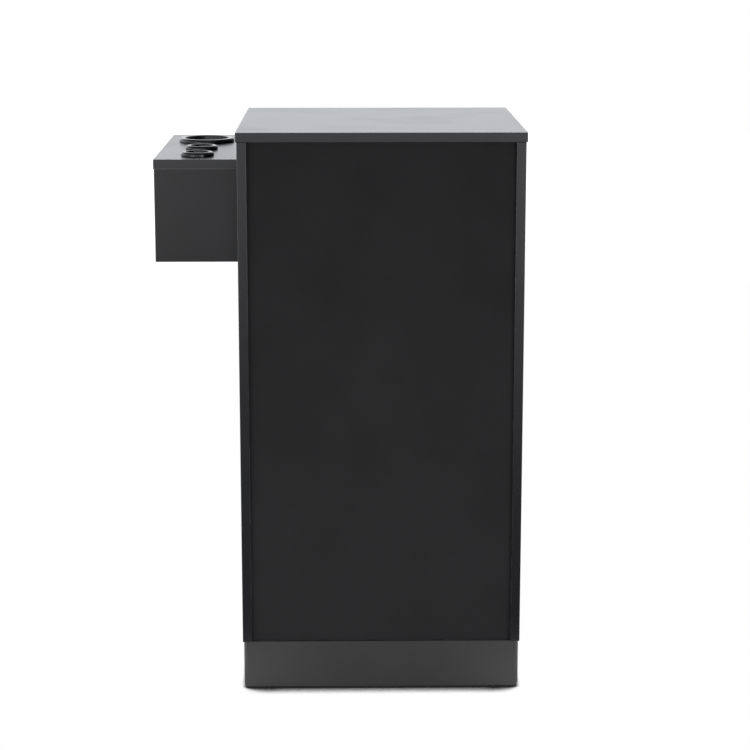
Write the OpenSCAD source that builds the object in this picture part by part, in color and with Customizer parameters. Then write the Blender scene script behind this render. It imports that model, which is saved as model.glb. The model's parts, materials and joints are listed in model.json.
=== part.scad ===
// Salon styling station: a tall laminated cabinet on a plinth, with three drawers on
// telescopic slides over a locking door, and a tool holder box on its right-hand side.
// Millimetres. The front faces -y, the tool holder is on +x, and z is up from the floor.

/* [Cabinet] */
// Width of the top board
top_w = 450; // [400:1:600]
// Depth of the top board
top_d = 450; // [400:1:560]
// Height from the floor to the top surface
overall_h = 900; // [840:1:1050]
// Thickness of the carcass and holder boards
board_t = 15; // [14:0.5:19]
// Overhang of the top board past each side panel
top_overhang = 2; // [0:0.5:10]
// Overhang of the top board past the drawer fronts
top_nosing = 2; // [0:0.5:10]
// Thickness of the back panel
back_t = 5; // [3:0.5:8]
// Recess of the back panel from the rear edges
back_recess = 8; // [4:0.5:20]
// Depth of the side panel grooves that hold the back panel
back_groove = 6; // [3:0.5:9]
// Width of the two rails under the top board
rail_w = 80; // [50:1:120]

/* [Plinth] */
// Height from the floor to the underside of the carcass
plinth_h = 80; // [50:1:120]
// Inset of the plinth from the outside of each side panel
plinth_inset = 1.5; // [0:0.5:30]
// Inset of the plinth from the rear edges
plinth_rear_inset = 3; // [0:0.5:30]
// Setback of the plinth's front board from the carcass front
toe_recess = 45; // [20:1:80]
// Chamfer on the lower corners of the long plinth boards
plinth_chamfer = 5; // [1:0.5:12]
// Rounding of the outer upright corners of the plinth
plinth_round = 6; // [2:0.5:12]
// Diameter of a floor glide
glide_d = 13; // [8:0.5:20]
// Height of a floor glide
glide_h = 4; // [2:0.5:10]
// Diameter of the nail on a floor glide
glide_nail_d = 3; // [2:0.1:4]
// Length of the nail on a floor glide
glide_nail = 18; // [10:1:30]
// Distance of the floor glides from the ends of their board
glide_inset = 40; // [20:1:90]

/* [Fronts] */
// Thickness of the drawer fronts and the door
front_t = 15; // [14:0.5:19]
// Gap between the carcass and the backs of the fronts
front_gap = 2.5; // [1.5:0.1:4]
// Gap between one front and the next
front_space = 3; // [2:0.5:5]
// Inset of the fronts from the outside of each side panel
front_reveal = 1; // [0:0.5:4]
// Height of a drawer front
drawer_front_h = 140; // [120:1:150]

/* [Drawer boxes] */
// Thickness of the drawer box boards
box_t = 12; // [9:0.5:16]
// Height of the box's lower edge above the front's lower edge
box_rise = 15; // [12:1:30]
// Drop of the box's upper edge below the front's upper edge
box_drop = 25; // [20:1:40]
// Drop of the box's back board below its sides
box_back_drop = 10; // [2:1:20]
// Length of the box behind its slides
box_tail = 20; // [0:1:25]
// Thickness of the drawer bottom
bottom_t = 4; // [3:0.5:6]
// Height of the drawer bottom above the lower edge of the box
bottom_rise = 10; // [6:0.5:16]
// Depth of the grooves that hold the drawer bottom
bottom_groove = 6; // [3:0.5:8]

/* [Drawer slides] */
// Side space that a telescopic slide fills
slide_w = 12.7; // [12:0.1:14]
// Height of a telescopic slide
slide_h = 45; // [40:0.5:50]
// Sheet thickness of the slide members
slide_sheet = 1.2; // [1:0.1:1.4]
// Outside radius of the bends in the slide members
slide_bend = 1.8; // [1.5:0.1:2.2]
// Height of the turned-in lips of the slide channels
slide_lip = 4; // [3:0.1:5]
// Step between the lengths that slides are sold in
slide_step = 50; // [25:25:50]
// Setback of the slides from the carcass front
slide_setback = 2; // [1:0.5:5]
// Free length kept behind the slides
slide_rear_room = 30; // [25:1:50]
// Diameter of the screw holes in the slides
slide_hole_d = 4.6; // [4:0.1:5.5]
// Distance from the front of a slide to its first screw hole
slide_hole_first = 35; // [30:1:45]
// Step on which the screw holes of a slide are drilled
slide_hole_step = 32; // [25:1:32]
// Distance from a screw hole of a slide to the slot behind it
slide_slot_step = 18; // [14:1:32]
// Length of the screw slots in the slides
slide_slot_len = 9; // [7:0.5:12]

/* [Handles] */
// Length of a handle bar
handle_len = 168; // [140:1:240]
// Distance between the posts of a handle
handle_centres = 128; // [96:1:128]
// Diameter of a handle bar
handle_bar_d = 12; // [10:0.5:16]
// Diameter of a handle post
handle_post_d = 8; // [6:0.5:9]
// Reach of a handle in front of its front
handle_reach = 35; // [28:0.5:45]
// Chamfer on the ends of a handle bar
handle_chamfer = 1; // [0.5:0.1:2]
// Distance of the door handle from the free edge of the door
door_handle_edge = 36; // [30:1:60]

/* [Door hinges] */
// Distance of the hinges from the ends of the door
hinge_end = 70; // [45:1:90]
// Diameter of a hinge cup
cup_d = 35; // [34:0.5:38]
// Depth of a hinge cup in the door
cup_depth = 12.5; // [12:0.1:13]
// Distance of a hinge cup from the edge of the door
cup_edge = 3; // [2.5:0.1:5]
// Thickness of the wall and the floor of a hinge cup
cup_wall = 0.6; // [0.4:0.05:0.8]
// Clear width between the cheeks of a hinge cup
cup_slot = 14; // [13:0.5:16]
// Thickness of a cup's flange on the door
flange_t = 1; // [0.8:0.1:1.2]
// Width of a cup's flange
flange_w = 19; // [14:0.5:20]
// Length of a cup's flange along the door edge
flange_len = 54; // [48:1:60]
// Corner radius of a cup's flange
flange_r = 5; // [2:0.5:7]
// Distance between the screws of a cup's flange
flange_screws = 45; // [42:0.5:46]
// Diameter of the screw holes in the hinges, the strike and the catch
fixing_hole_d = 4.4; // [3.6:0.1:5]
// Diameter of a hinge pin
pin_d = 2.5; // [2:0.1:3]
// Length of a hinge pin
pin_len = 20; // [18:0.5:22]
// Depth of the hinge pins in the door
pin_depth = 9; // [8.5:0.1:9.4]
// Distance of the hinge pins from the edge of the door
pin_edge = 9; // [8.5:0.1:10]
// Diameter of the knuckle of a hinge arm
knuckle_d = 5.2; // [4.6:0.1:5.4]
// Thickness of a hinge arm
arm_t = 3.2; // [2.4:0.1:3.4]
// Width of a hinge arm
arm_w = 12; // [10:0.5:12.5]
// Length of the arm from its knuckle to its elbow
arm_neck = 13; // [12:0.5:14]
// Distance from the carcass front to the thick end of the arm
arm_start = 8; // [6:0.5:12]
// Length of the thick end of the arm
arm_bar = 54; // [48:1:60]
// Rounding of the ends of the thick end of the arm
arm_end_r = 1; // [0.5:0.1:1.4]
// Wall of the thick end of the arm, which is open towards the plate
arm_wall = 1.5; // [1.2:0.1:1.8]
// Length of the slot for the screw that holds the arm on its plate
arm_slot_len = 10; // [8:0.5:14]
// Distance from the start of the arm's thick end to its adjusting screw
adjust_screw = 12; // [8:0.5:14]
// Thickness of a hinge plate
plate_t = 2.5; // [2:0.1:3]
// Height of a hinge plate across its wings
plate_h = 48; // [44:1:60]
// Width of the wings of a hinge plate
plate_wing = 18; // [14:1:24]
// Distance from the carcass front to the screws of a hinge plate
plate_line = 37; // [35:0.5:40]
// Corner radius of the wings of a hinge plate
plate_r = 5; // [2:0.5:7]
// Distance between the screws of a hinge plate
plate_screws = 32; // [28:0.5:34]
// Chamfer on the back of the door's hinge edge
door_ease = 3; // [2.5:0.1:4]

/* [Door lock and catch] */
// Distance of the lock below the upper edge of the door
lock_drop = 60; // [45:1:70]
// Distance of the lock from the free edge of the door
lock_edge = 36; // [34:0.5:38]
// Diameter of the lock barrel
lock_d = 18; // [16:0.5:20]
// Diameter of the lock's collar
collar_d = 22; // [21:0.5:26]
// Thickness of the lock's collar
collar_t = 3; // [2:0.5:5]
// Diameter of the lock plug
plug_d = 12; // [10:0.5:14]
// Height of the plug's face in front of the collar
plug_proud = 0.5; // [0.2:0.1:1]
// Width across flats of the lock nut
nut_flats = 22; // [21:0.5:24]
// Thickness of the lock nut
nut_t = 2.5; // [1.5:0.1:2.8]
// Width of the key slot
key_slot_w = 1.4; // [1:0.1:2]
// Length of the key slot
key_slot_len = 8; // [6:0.5:9]
// Depth of the key slot
key_slot_depth = 10; // [4:0.5:14]
// Width across the plug's square tail
tail_w = 6; // [5:0.5:7]
// Length of the lock cam from its pivot
bolt_cam_len = 17; // [16:0.5:18]
// Width of the lock cam
bolt_cam_w = 11; // [10:0.5:12]
// Thickness of the lock cam and its strike
lock_sheet = 2; // [1.5:0.1:2.5]
// Gap between the strike's lip and the lock barrel
lip_gap = 1.5; // [1:0.1:3]
// Height of the strike
strike_h = 24; // [20:1:30]
// Depth of the strike's base on the side panel
strike_base = 30; // [20:1:40]
// Setback of the strike from the carcass front
strike_setback = 1; // [0.5:0.1:2]
// Distance between the screws of the strike
strike_screws = 12; // [10:0.5:14]
// Distance of the strike's screws from its lip
strike_screw_back = 20; // [14:0.5:22]
// Gap between the strike's lip and the lock cam
cam_gap = 1.5; // [1:0.1:2]
// Gap between the lock barrel and the lock cam
barrel_gap = 0.4; // [0.3:0.05:0.6]
// Width of the magnetic catch
catch_w = 46; // [36:1:60]
// Width of the housing between the ears of the magnetic catch
catch_body = 24; // [18:1:26]
// Thickness of the ears of the magnetic catch
catch_ear_t = 3; // [2:0.1:4]
// Height of the magnetic catch
catch_h = 13; // [10:0.5:16]
// Depth of the magnetic catch
catch_d = 14; // [10:0.5:20]
// Distance of the catch's middle from the free edge of the door
catch_edge = 90; // [85:1:140]
// Length of the steel keeper that the catch holds
keeper_len = 38; // [30:1:50]
// Height of the steel keeper
keeper_h = 10; // [8:0.5:12]
// Thickness of the steel keeper
keeper_t = 1.2; // [0.8:0.1:1.5]
// Corner radius of the catch's ears and of the keeper
keeper_r = 2; // [1:0.1:3]
// Gap between the closed keeper and the catch
catch_gap = 0.3; // [0.2:0.05:0.5]

/* [Shelf] */
// Setback of the shelf from the carcass front
shelf_setback = 25; // [20:1:60]
// Play at the ends and the rear of the shelf
shelf_play = 0.5; // [0.3:0.1:1]
// Diameter of a shelf pin in its hole
shelf_pin_d = 5; // [4:0.5:6]
// Diameter of a shelf pin under the shelf
shelf_head_d = 9; // [8:0.5:12]
// Height from a shelf pin's axis to its flat
shelf_flat = 2.5; // [2:0.5:3.5]
// Length of a shelf pin in its hole
shelf_pin_in = 8; // [6:0.5:10]
// Length of a shelf pin under the shelf
shelf_pin_out = 9; // [7:0.5:12]
// Distance of the pin holes from the front and rear of the shelf
shelf_pin_inset = 50; // [30:1:90]
// Distance from one row of pin holes to the next
shelf_hole_pitch = 32; // [24:1:32]
// Spare rows of pin holes above and below the shelf
shelf_spare_rows = 2; // [0:1:2]

/* [Tool holder] */
// Reach of the holder's top board from the side panel
holder_w = 130; // [125:1:160]
// Inset of the holder from the rear edge of the side panel
holder_rear_inset = 20; // [0:1:40]
// Inset of the holder from the front edge of the side panel
holder_front_inset = 20; // [0:1:40]
// Height of the holder
holder_h = 160; // [150:1:200]
// Drop of the holder's top below the cabinet's top
holder_drop = 43; // [30:1:50]
// Overhang of the holder's top board past its outer board
holder_overhang = 1; // [0:0.5:5]
// Hole of the hair dryer ring
dryer_hole_d = 71; // [60:1:78]
// Width of the hair dryer ring's rim
dryer_rim_w = 10.5; // [8:0.5:13]
// Hole of an iron ring
iron_hole_d = 35; // [30:1:40]
// Width of an iron ring's rim
iron_rim_w = 8.5; // [8:0.5:12]
// Distance of the first iron ring from the rear of the holder
iron_from_rear = 57; // [50:1:60]
// Distance between the two iron rings
iron_pitch = 97; // [80:1:100]
// Distance of the dryer ring from the front of the holder
dryer_from_front = 113; // [100:1:120]
// Height of a ring's rim above the board
rim_h = 6.5; // [5:0.5:10]
// Outer rounding of a ring's rim
rim_edge_r = 4.2; // [2:0.1:4.5]
// Inner rounding of a ring's rim
rim_lip_r = 2; // [0.8:0.1:2.4]
// Widening of a ring's mouth on each side
rim_flare = 0.8; // [0.4:0.1:1]
// Depth of the flared mouth of a ring
flare_depth = 8; // [6:0.5:12]
// Length of a ring's sleeve below its rim
sleeve_len = 40; // [20:1:60]
// Wall of a ring's sleeve
sleeve_wall = 2.5; // [1.5:0.1:4]
// Diameter of a holder bolt
holder_bolt_d = 6; // [5:0.5:8]
// Diameter of a holder bolt's head
holder_head_d = 14; // [10:0.5:18]
// Thickness of a holder bolt's head
holder_head_t = 3; // [2:0.1:4]
// Depth of a holder bolt in the holder
holder_bolt_bite = 12; // [8:0.5:13]
// Distance of the holder bolts from the ends of the holder
holder_bolt_inset = 80; // [60:1:120]

/* [Carcass fittings] */
// Diameter of a fitting cam
cam_d = 15; // [12:0.5:18]
// Board left over a fitting cam
cam_skin = 2.5; // [1.5:0.1:4]
// Distance of a fitting cam from the side panel
cam_reach = 24; // [20:0.5:34]
// Diameter of a fitting bolt
bolt_d = 6; // [5:0.5:7]
// Depth of a fitting bolt in the side panel
bolt_bury = 9; // [7:0.5:11]
// Distance of the fittings from the front and rear of their board
fitting_inset = 50; // [30:1:90]

/* [Clearances] */
// Play of a panel in its groove and of a sleeve in its board
panel_play = 0.2; // [0.1:0.05:0.4]
// Play around a pin, plug or screwed-in bolt
pin_play = 0.05; // [0.03:0.01:0.1]
// Play around a fitting bolt in its board
bolt_play = 0.4; // [0.2:0.05:0.6]
// Running gap between the members of a slide
slide_play = 0.4; // [0.3:0.05:0.5]

/* [Hidden] */
$fn = 64;

// Overrun of a cut past the face that it opens
cut = 1;

// Number of drawers, each with its own nodes
drawer_count = 3;

// Carcass planes, with x measured from the middle of the cabinet and y from the
// middle of the top board
body_w = top_w - 2 * top_overhang;
side_out = body_w / 2;
side_in = side_out - board_t;
rear_y = top_d / 2;
front_face_y = top_nosing - top_d / 2;
front_back_y = front_face_y + front_t;
carcass_front_y = front_back_y + front_gap;
back_rear_y = rear_y - back_recess;
back_front_y = back_rear_y - back_t;
top_under_z = overall_h - board_t;
floor_z = plinth_h + board_t;

// Stack of fronts, counted from the top
front_w = body_w - 2 * front_reveal;
stack_top_z = top_under_z - front_space;
drawer_pitch = drawer_front_h + front_space;
door_top_z = stack_top_z - drawer_count * drawer_pitch;
door_low_z = plinth_h + front_space;
divider_z = door_top_z + front_space / 2 - board_t / 2;
function drawer_z(i) = stack_top_z - (i - 1) * drawer_pitch - drawer_front_h;

// Drawer boxes and the longest slide on sale that fits behind them
slide_room = back_front_y - carcass_front_y - slide_rear_room;
slide_len = floor(slide_room / slide_step) * slide_step;
slide_front_y = carcass_front_y + slide_setback;
box_out = side_in - slide_w;
box_in = box_out - box_t;
box_h = drawer_front_h - box_rise - box_drop;
box_rear_y = slide_front_y + slide_len + box_tail;
function box_z(i) = drawer_z(i) + box_rise;
function bottom_z(i) = box_z(i) + bottom_rise;
function slide_z(i) = box_z(i) + box_h / 2;

// Nested slide members, measured from the side panel towards the drawer
outer_depth = slide_w - slide_sheet;
outer_half = slide_h / 2;
middle_start = slide_sheet + slide_play;
middle_depth = outer_depth - 2 * middle_start;
middle_half = outer_half - middle_start;
inner_start = middle_start + middle_depth - 2 * slide_sheet - slide_play;
inner_half = middle_half - slide_lip - slide_play;
brim_half = middle_half - slide_sheet - slide_play;

// Three screw holes a slide, as far apart as whole steps allow, each with a slot behind it
slide_hole_reach = slide_len / 2 - slide_hole_first;
slide_hole_pitch = floor(slide_hole_reach / slide_hole_step) * slide_hole_step;
slide_hole_ys = [for (k = [0 : 2]) slide_front_y + slide_hole_first + k * slide_hole_pitch];

// Handles
handle_axis = handle_reach - handle_bar_d / 2;
handle_front_y = front_face_y - handle_reach;

// Hinges, each drawn around its own pin
hinge_x = pin_edge - front_w / 2;
hinge_y = front_back_y - pin_depth;
hinge_zs = [door_low_z + hinge_end, door_top_z - hinge_end];
cup_x = cup_edge + cup_d / 2 - pin_edge;
cup_low_y = pin_depth - cup_depth;
carcass_y = pin_depth + front_gap;
panel_x = -side_in - hinge_x;
elbow_x = arm_neck + arm_t / 2;

// Lock, strike and catch
lock_x = front_w / 2 - lock_edge;
lock_z = door_top_z - lock_drop;
lip_x = lock_x + lock_d / 2 + lip_gap;
strike_y = carcass_front_y + strike_setback;
bolt_cam_y = strike_y + lock_sheet + cam_gap;
barrel_rear_y = bolt_cam_y - barrel_gap;
plug_face_y = front_face_y - collar_t - plug_proud;
catch_x = front_w / 2 - catch_edge;
catch_front_y = front_back_y + keeper_t + catch_gap;

// Shelf in the middle of the space behind the door
shelf_z = (floor_z + divider_z - board_t) / 2;
shelf_front_y = carcass_front_y + shelf_setback;
shelf_rear_y = back_front_y - shelf_play;
shelf_pin_ys = [shelf_front_y + shelf_pin_inset, shelf_rear_y - shelf_pin_inset];

// Tool holder on the outside of the right side panel
holder_out_x = side_out + holder_w;
holder_box_x = holder_out_x - holder_overhang;
holder_rear_y = rear_y - holder_rear_inset;
holder_front_y = carcass_front_y + holder_front_inset;
holder_top_z = overall_h - holder_drop;
holder_under_z = holder_top_z - board_t;
holder_low_z = holder_top_z - holder_h;
ring_x = side_out + holder_w / 2;
dryer_y = holder_front_y + dryer_from_front;
iron_ys = [holder_rear_y - iron_from_rear, holder_rear_y - iron_from_rear - iron_pitch];
holder_bolt_ys = [holder_front_y + holder_bolt_inset, holder_rear_y - holder_bolt_inset];
holder_bolt_z = (slide_z(1) + slide_z(2)) / 2;

// Plinth frame under the carcass
plinth_x = side_out - plinth_inset;
plinth_front_y = carcass_front_y + toe_recess;
plinth_rear_y = rear_y - plinth_rear_inset;

// Carcass fittings as [y, z] on the inner face of a side panel
fitting_ys = [carcass_front_y + fitting_inset, back_front_y - fitting_inset];
rail_ys = [carcass_front_y + rail_w / 2, back_front_y - rail_w / 2];
fittings = concat(
    [for (z = [plinth_h, divider_z], y = fitting_ys) [y, z + board_t / 2]],
    [for (y = rail_ys) [y, top_under_z - board_t / 2]]
);
cam_h = board_t - cam_skin;

// Colours
laminate = "#2d2d30";
plinth_grey = "#6a6a6c";
hardboard = "#2a2a2b";
box_board = "#3a3a3d";
gloss_black = "#111112";
zinc = "#b9bcc0";
steel = "#8f9398";
satin = "#c8c9ca";
nylon = "#1c1c1d";

DRAWER_PIECES = ["front", "sides", "back", "bottom", "handle", "rails", "middle_rails"];

// Box between its lowest and its highest corner
module board(low, high) {
    translate(low) cube(high - low);
}

// Round bars along each axis, from one place on it to another
module rod_x(d, from, to) {
    translate([from, 0, 0]) rotate([0, 90, 0]) cylinder(d = d, h = to - from);
}

module rod_y(d, from, to) {
    translate([0, from, 0]) rotate([-90, 0, 0]) cylinder(d = d, h = to - from);
}

module rod_z(d, from, to) {
    translate([0, 0, from]) cylinder(d = d, h = to - from);
}

// The children on the right-hand side and their mirror image on the left
module both_sides() {
    children();
    mirror([1, 0, 0]) children();
}

// Stands the whole object centred over the origin
module at_origin() {
    shift_x = (holder_out_x - top_w / 2) / 2;
    shift_y = (rear_y + handle_front_y) / 2;
    translate([-shift_x, -shift_y, 0]) children();
}

// Places of the carcass fittings on the right side panel
module at_fittings() {
    for (f = fittings) translate([side_in, f[0], f[1]]) children();
}

// Places of the shelf pins on the right side panel, row 0 being the one in use
module at_shelf_pins(rows) {
    for (row = rows, y = shelf_pin_ys)
        translate([side_in, y, shelf_z - shelf_flat + row * shelf_hole_pitch]) children();
}

module at_holder_bolts() {
    for (y = holder_bolt_ys) translate([side_in, y, holder_bolt_z]) children();
}

module at_hinges() {
    for (z = hinge_zs) translate([hinge_x, hinge_y, z]) children();
}

module at_lock() {
    translate([lock_x, 0, lock_z]) children();
}

// Bores for the bolts in the edge of a board, and for the cams in its underside
module fitting_bores() {
    both_sides() at_fittings() {
        rod_x(bolt_d + 2 * bolt_play, -cam_reach, cut);
        translate([-cam_reach, 0, 0])
            rod_z(cam_d + 2 * pin_play, -board_t / 2 - cut, cam_h - board_t / 2 + pin_play);
    }
}

// Carcass

module top_panel() {
    color(laminate)
        board([-top_w / 2, -top_d / 2, top_under_z], [top_w / 2, top_d / 2, overall_h]);
}

// Right-hand side panel with its back groove, bolt bores and rows of shelf pin holes
module side_board() {
    difference() {
        board([side_in, carcass_front_y, plinth_h], [side_out, rear_y, top_under_z]);
        board(
            [side_in - cut, back_front_y - panel_play, plinth_h - cut],
            [side_in + back_groove, back_rear_y + panel_play, top_under_z + cut]
        );
        at_fittings() rod_x(bolt_d + 2 * pin_play, -cut, bolt_bury + pin_play);
        at_shelf_pins([-shelf_spare_rows : shelf_spare_rows])
            rod_x(shelf_pin_d + 2 * pin_play, -cut, shelf_pin_in + pin_play);
    }
}

module left_side_panel() {
    color(laminate) mirror([1, 0, 0]) side_board();
}

module right_side_panel() {
    color(laminate) difference() {
        side_board();
        at_holder_bolts() rod_x(holder_bolt_d + 2 * pin_play, -cut, board_t + cut);
    }
}

module bottom_panel() {
    color(laminate) difference() {
        board([-side_in, carcass_front_y, plinth_h], [side_in, back_front_y, floor_z]);
        fitting_bores();
    }
}

module divider_panel() {
    color(laminate) difference() {
        board([-side_in, carcass_front_y, divider_z], [side_in, back_front_y, divider_z + board_t]);
        fitting_bores();
    }
}

module top_rails() {
    color(laminate) difference() {
        for (y = rail_ys)
            board(
                [-side_in, y - rail_w / 2, top_under_z - board_t],
                [side_in, y + rail_w / 2, top_under_z]
            );
        fitting_bores();
    }
}

module back_panel() {
    half_w = side_in + back_groove - panel_play;
    color(hardboard)
        board([-half_w, back_front_y, plinth_h], [half_w, back_rear_y, top_under_z]);
}

module adjustable_shelf() {
    half_w = side_in - shelf_play;
    color(laminate)
        board([-half_w, shelf_front_y, shelf_z], [half_w, shelf_rear_y, shelf_z + board_t]);
}

// Stepped pins, flat on top where the shelf lies on them
module shelf_pins() {
    color(zinc) both_sides() at_shelf_pins([0]) {
        difference() {
            union() {
                rod_x(shelf_pin_d, -cut, shelf_pin_in);
                rod_x(shelf_head_d, -shelf_pin_out, 0);
            }
            translate([-shelf_pin_out - cut, -shelf_head_d, shelf_flat])
                cube([shelf_pin_out + cut, 2 * shelf_head_d, shelf_head_d]);
        }
    }
}

// Plinth

// Plan of a long plinth board, round at its outer corners, its outer face at y = 0
module plinth_plan() {
    x = plinth_x;
    r = plinth_round;
    translate([-x, -board_t]) square([2 * x, board_t - r]);
    translate([r - x, -board_t]) square([2 * (x - r), board_t]);
    for (side = [-1, 1]) translate([side * (x - r), -r]) circle(r);
}

// Long board of the plinth, chamfered at its lower corners, its outer face at y = 0
module plinth_board() {
    x = plinth_x;
    low = glide_h;
    difference() {
        intersection() {
            rotate([90, 0, 0]) linear_extrude(board_t) polygon([
                [-x, plinth_h],
                [-x, low + plinth_chamfer],
                [plinth_chamfer - x, low],
                [x - plinth_chamfer, low],
                [x, low + plinth_chamfer],
                [x, plinth_h]
            ]);
            linear_extrude(plinth_h) plinth_plan();
        }
        at_glides() rod_z(glide_nail_d + 2 * pin_play, -cut, glide_nail + pin_play);
    }
}

// Places of the glides under a long board
module at_glides() {
    both_sides() translate([plinth_x - glide_inset, -board_t / 2, glide_h]) children();
}

module plinth_front_board() {
    color(plinth_grey) translate([0, plinth_front_y, 0]) mirror([0, 1, 0]) plinth_board();
}

module plinth_rear_board() {
    color(plinth_grey) translate([0, plinth_rear_y, 0]) plinth_board();
}

module plinth_end_boards() {
    color(plinth_grey) both_sides() board(
        [plinth_x - board_t, plinth_front_y + board_t, glide_h],
        [plinth_x, plinth_rear_y - board_t, plinth_h]
    );
}

module floor_glides() {
    color(nylon) for (y = [plinth_front_y + board_t, plinth_rear_y])
        translate([0, y, 0]) at_glides() {
            rod_z(glide_d, -glide_h, 0);
            rod_z(glide_nail_d, -glide_h / 2, glide_nail);
        }
}

// Carcass fittings

// Cams in the undersides of the boards, each open on the side where its bolt enters
module fitting_cams() {
    mouth = bolt_d + 2 * bolt_play;
    color(zinc) both_sides() at_fittings() translate([-cam_reach, 0, 0]) difference() {
        rod_z(cam_d, -board_t / 2, cam_h - board_t / 2);
        translate([-mouth / 2, -mouth / 2, -mouth / 2]) cube([cam_d, mouth, board_t]);
    }
}

module fitting_bolts() {
    color(steel) both_sides() at_fittings() rod_x(bolt_d, -cam_reach, bolt_bury);
}

// Drawer slides

// Flat rectangle with round corners, between its lowest and its highest corner
module round_rect(low, high, r) {
    size = high - low;
    translate(low) {
        translate([r, 0]) square([size.x - 2 * r, size.y]);
        translate([0, r]) square([size.x, size.y - 2 * r]);
        for (x = [r, size.x - r], y = [r, size.y - r]) translate([x, y]) circle(r);
    }
}

// Channel of bent sheet with turned-in lips, open towards the drawer
module slide_channel(half, depth) {
    gap = half - slide_lip;
    difference() {
        round_rect([0, -half], [depth, half], slide_bend);
        round_rect(
            [slide_sheet, slide_sheet - half],
            [depth - slide_sheet, half - slide_sheet],
            slide_bend - slide_sheet
        );
        translate([slide_sheet, -gap]) square([depth, 2 * gap]);
    }
}

// Hat section that carries the drawer, its brims held behind the lips of the middle member
module slide_hat() {
    leg_in = inner_half - slide_sheet;
    difference() {
        union() {
            round_rect([inner_start, -inner_half], [slide_w, inner_half], slide_bend);
            translate([inner_start, -brim_half]) square([slide_sheet, 2 * brim_half]);
        }
        round_rect(
            [inner_start - slide_bend, -leg_in],
            [slide_w - slide_sheet, leg_in],
            slide_bend - slide_sheet
        );
    }
}

// One slide member on each side of drawer i, from its cross-section
module slide_pair(i) {
    both_sides() translate([side_in, slide_front_y + slide_len, slide_z(i)])
        mirror([1, 0, 0]) rotate([90, 0, 0]) linear_extrude(slide_len) children();
}

// Screw holes and slots through the web of a slide member of drawer i, whose inner face is at x
module slide_holes(i, x) {
    to = slide_sheet + cut;
    run = slide_slot_len - slide_hole_d;
    both_sides() for (y = slide_hole_ys) translate([x, y, slide_z(i)]) {
        rod_x(slide_hole_d, -cut, to);
        translate([0, slide_slot_step, 0]) {
            for (end = [-run / 2, run / 2]) translate([0, end, 0]) rod_x(slide_hole_d, -cut, to);
            board([-cut, -run / 2, -slide_hole_d / 2], [to, run / 2, slide_hole_d / 2]);
        }
    }
}

module cabinet_rails() {
    color(zinc) for (i = [1 : drawer_count]) difference() {
        slide_pair(i) slide_channel(outer_half, outer_depth);
        slide_holes(i, side_in - slide_sheet);
    }
}

module drawer_middle_rails(i) {
    color(zinc) slide_pair(i)
        translate([middle_start, 0]) slide_channel(middle_half, middle_depth);
}

module drawer_rails(i) {
    color(zinc) difference() {
        slide_pair(i) slide_hat();
        slide_holes(i, box_out);
    }
}

// Drawers

// Space that the bottom of drawer i takes in the boards around it
module bottom_cut(i) {
    half_w = box_in + bottom_groove;
    board(
        [-half_w, front_back_y - bottom_groove, bottom_z(i) - panel_play],
        [half_w, box_rear_y + cut, bottom_z(i) + bottom_t + panel_play]
    );
}

module drawer_front(i) {
    color(laminate) difference() {
        board(
            [-front_w / 2, front_face_y, drawer_z(i)],
            [front_w / 2, front_back_y, drawer_z(i) + drawer_front_h]
        );
        bottom_cut(i);
    }
}

module drawer_sides(i) {
    color(box_board) difference() {
        both_sides()
            board([box_in, front_back_y, box_z(i)], [box_out, box_rear_y, box_z(i) + box_h]);
        bottom_cut(i);
    }
}

module drawer_back(i) {
    color(box_board) board(
        [-box_in, box_rear_y - box_t, bottom_z(i) + bottom_t],
        [box_in, box_rear_y, box_z(i) + box_h - box_back_drop]
    );
}

module drawer_bottom(i) {
    half_w = box_in + bottom_groove - panel_play;
    color(hardboard) board(
        [-half_w, front_back_y - bottom_groove + panel_play, bottom_z(i)],
        [half_w, box_rear_y, bottom_z(i) + bottom_t]
    );
}

// Bar handle along x, standing on the plane y = 0
module bar_handle() {
    r = handle_bar_d / 2;
    half = handle_len / 2;
    c = handle_chamfer;
    translate([0, -handle_axis, 0]) rotate([0, 90, 0]) rotate_extrude()
        polygon([[0, -half], [r - c, -half], [r, c - half], [r, half - c], [r - c, half], [0, half]]);
    both_sides() difference() {
        translate([handle_centres / 2, 0, 0]) rod_y(handle_post_d, -handle_axis, 0);
        translate([0, -handle_axis, 0]) rod_x(handle_bar_d + 2 * pin_play, -half, half);
    }
}

module drawer_handle(i) {
    color(satin) translate([0, front_face_y, drawer_z(i) + drawer_front_h / 2]) bar_handle();
}

// Door and its hinges

// Door with an eased hinge edge, bored for the hinge cups and the lock
module door_panel() {
    x = front_w / 2;
    color(laminate) difference() {
        translate([0, 0, door_low_z]) linear_extrude(door_top_z - door_low_z) polygon([
            [-x, front_face_y],
            [x, front_face_y],
            [x, front_back_y],
            [door_ease - x, front_back_y],
            [-x, front_back_y - door_ease]
        ]);
        at_hinges() translate([cup_x, 0, 0])
            rod_y(cup_d + 2 * pin_play, cup_low_y - pin_play, pin_depth + cut);
        at_lock() rod_y(lock_d + 2 * pin_play, front_face_y - cut, front_back_y + cut);
    }
}

module door_handle() {
    mid_z = (door_low_z + door_top_z) / 2;
    color(satin) translate([front_w / 2 - door_handle_edge, front_face_y, mid_z])
        rotate([0, 90, 0]) bar_handle();
}

// Outline of a cup's flange around its middle, with its two screw holes
module cup_flange() {
    corner = [flange_w / 2, flange_len / 2];
    difference() {
        round_rect(-corner, corner, flange_r);
        for (z = [-flange_screws / 2, flange_screws / 2]) translate([0, z]) circle(d = fixing_hole_d);
    }
}

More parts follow.
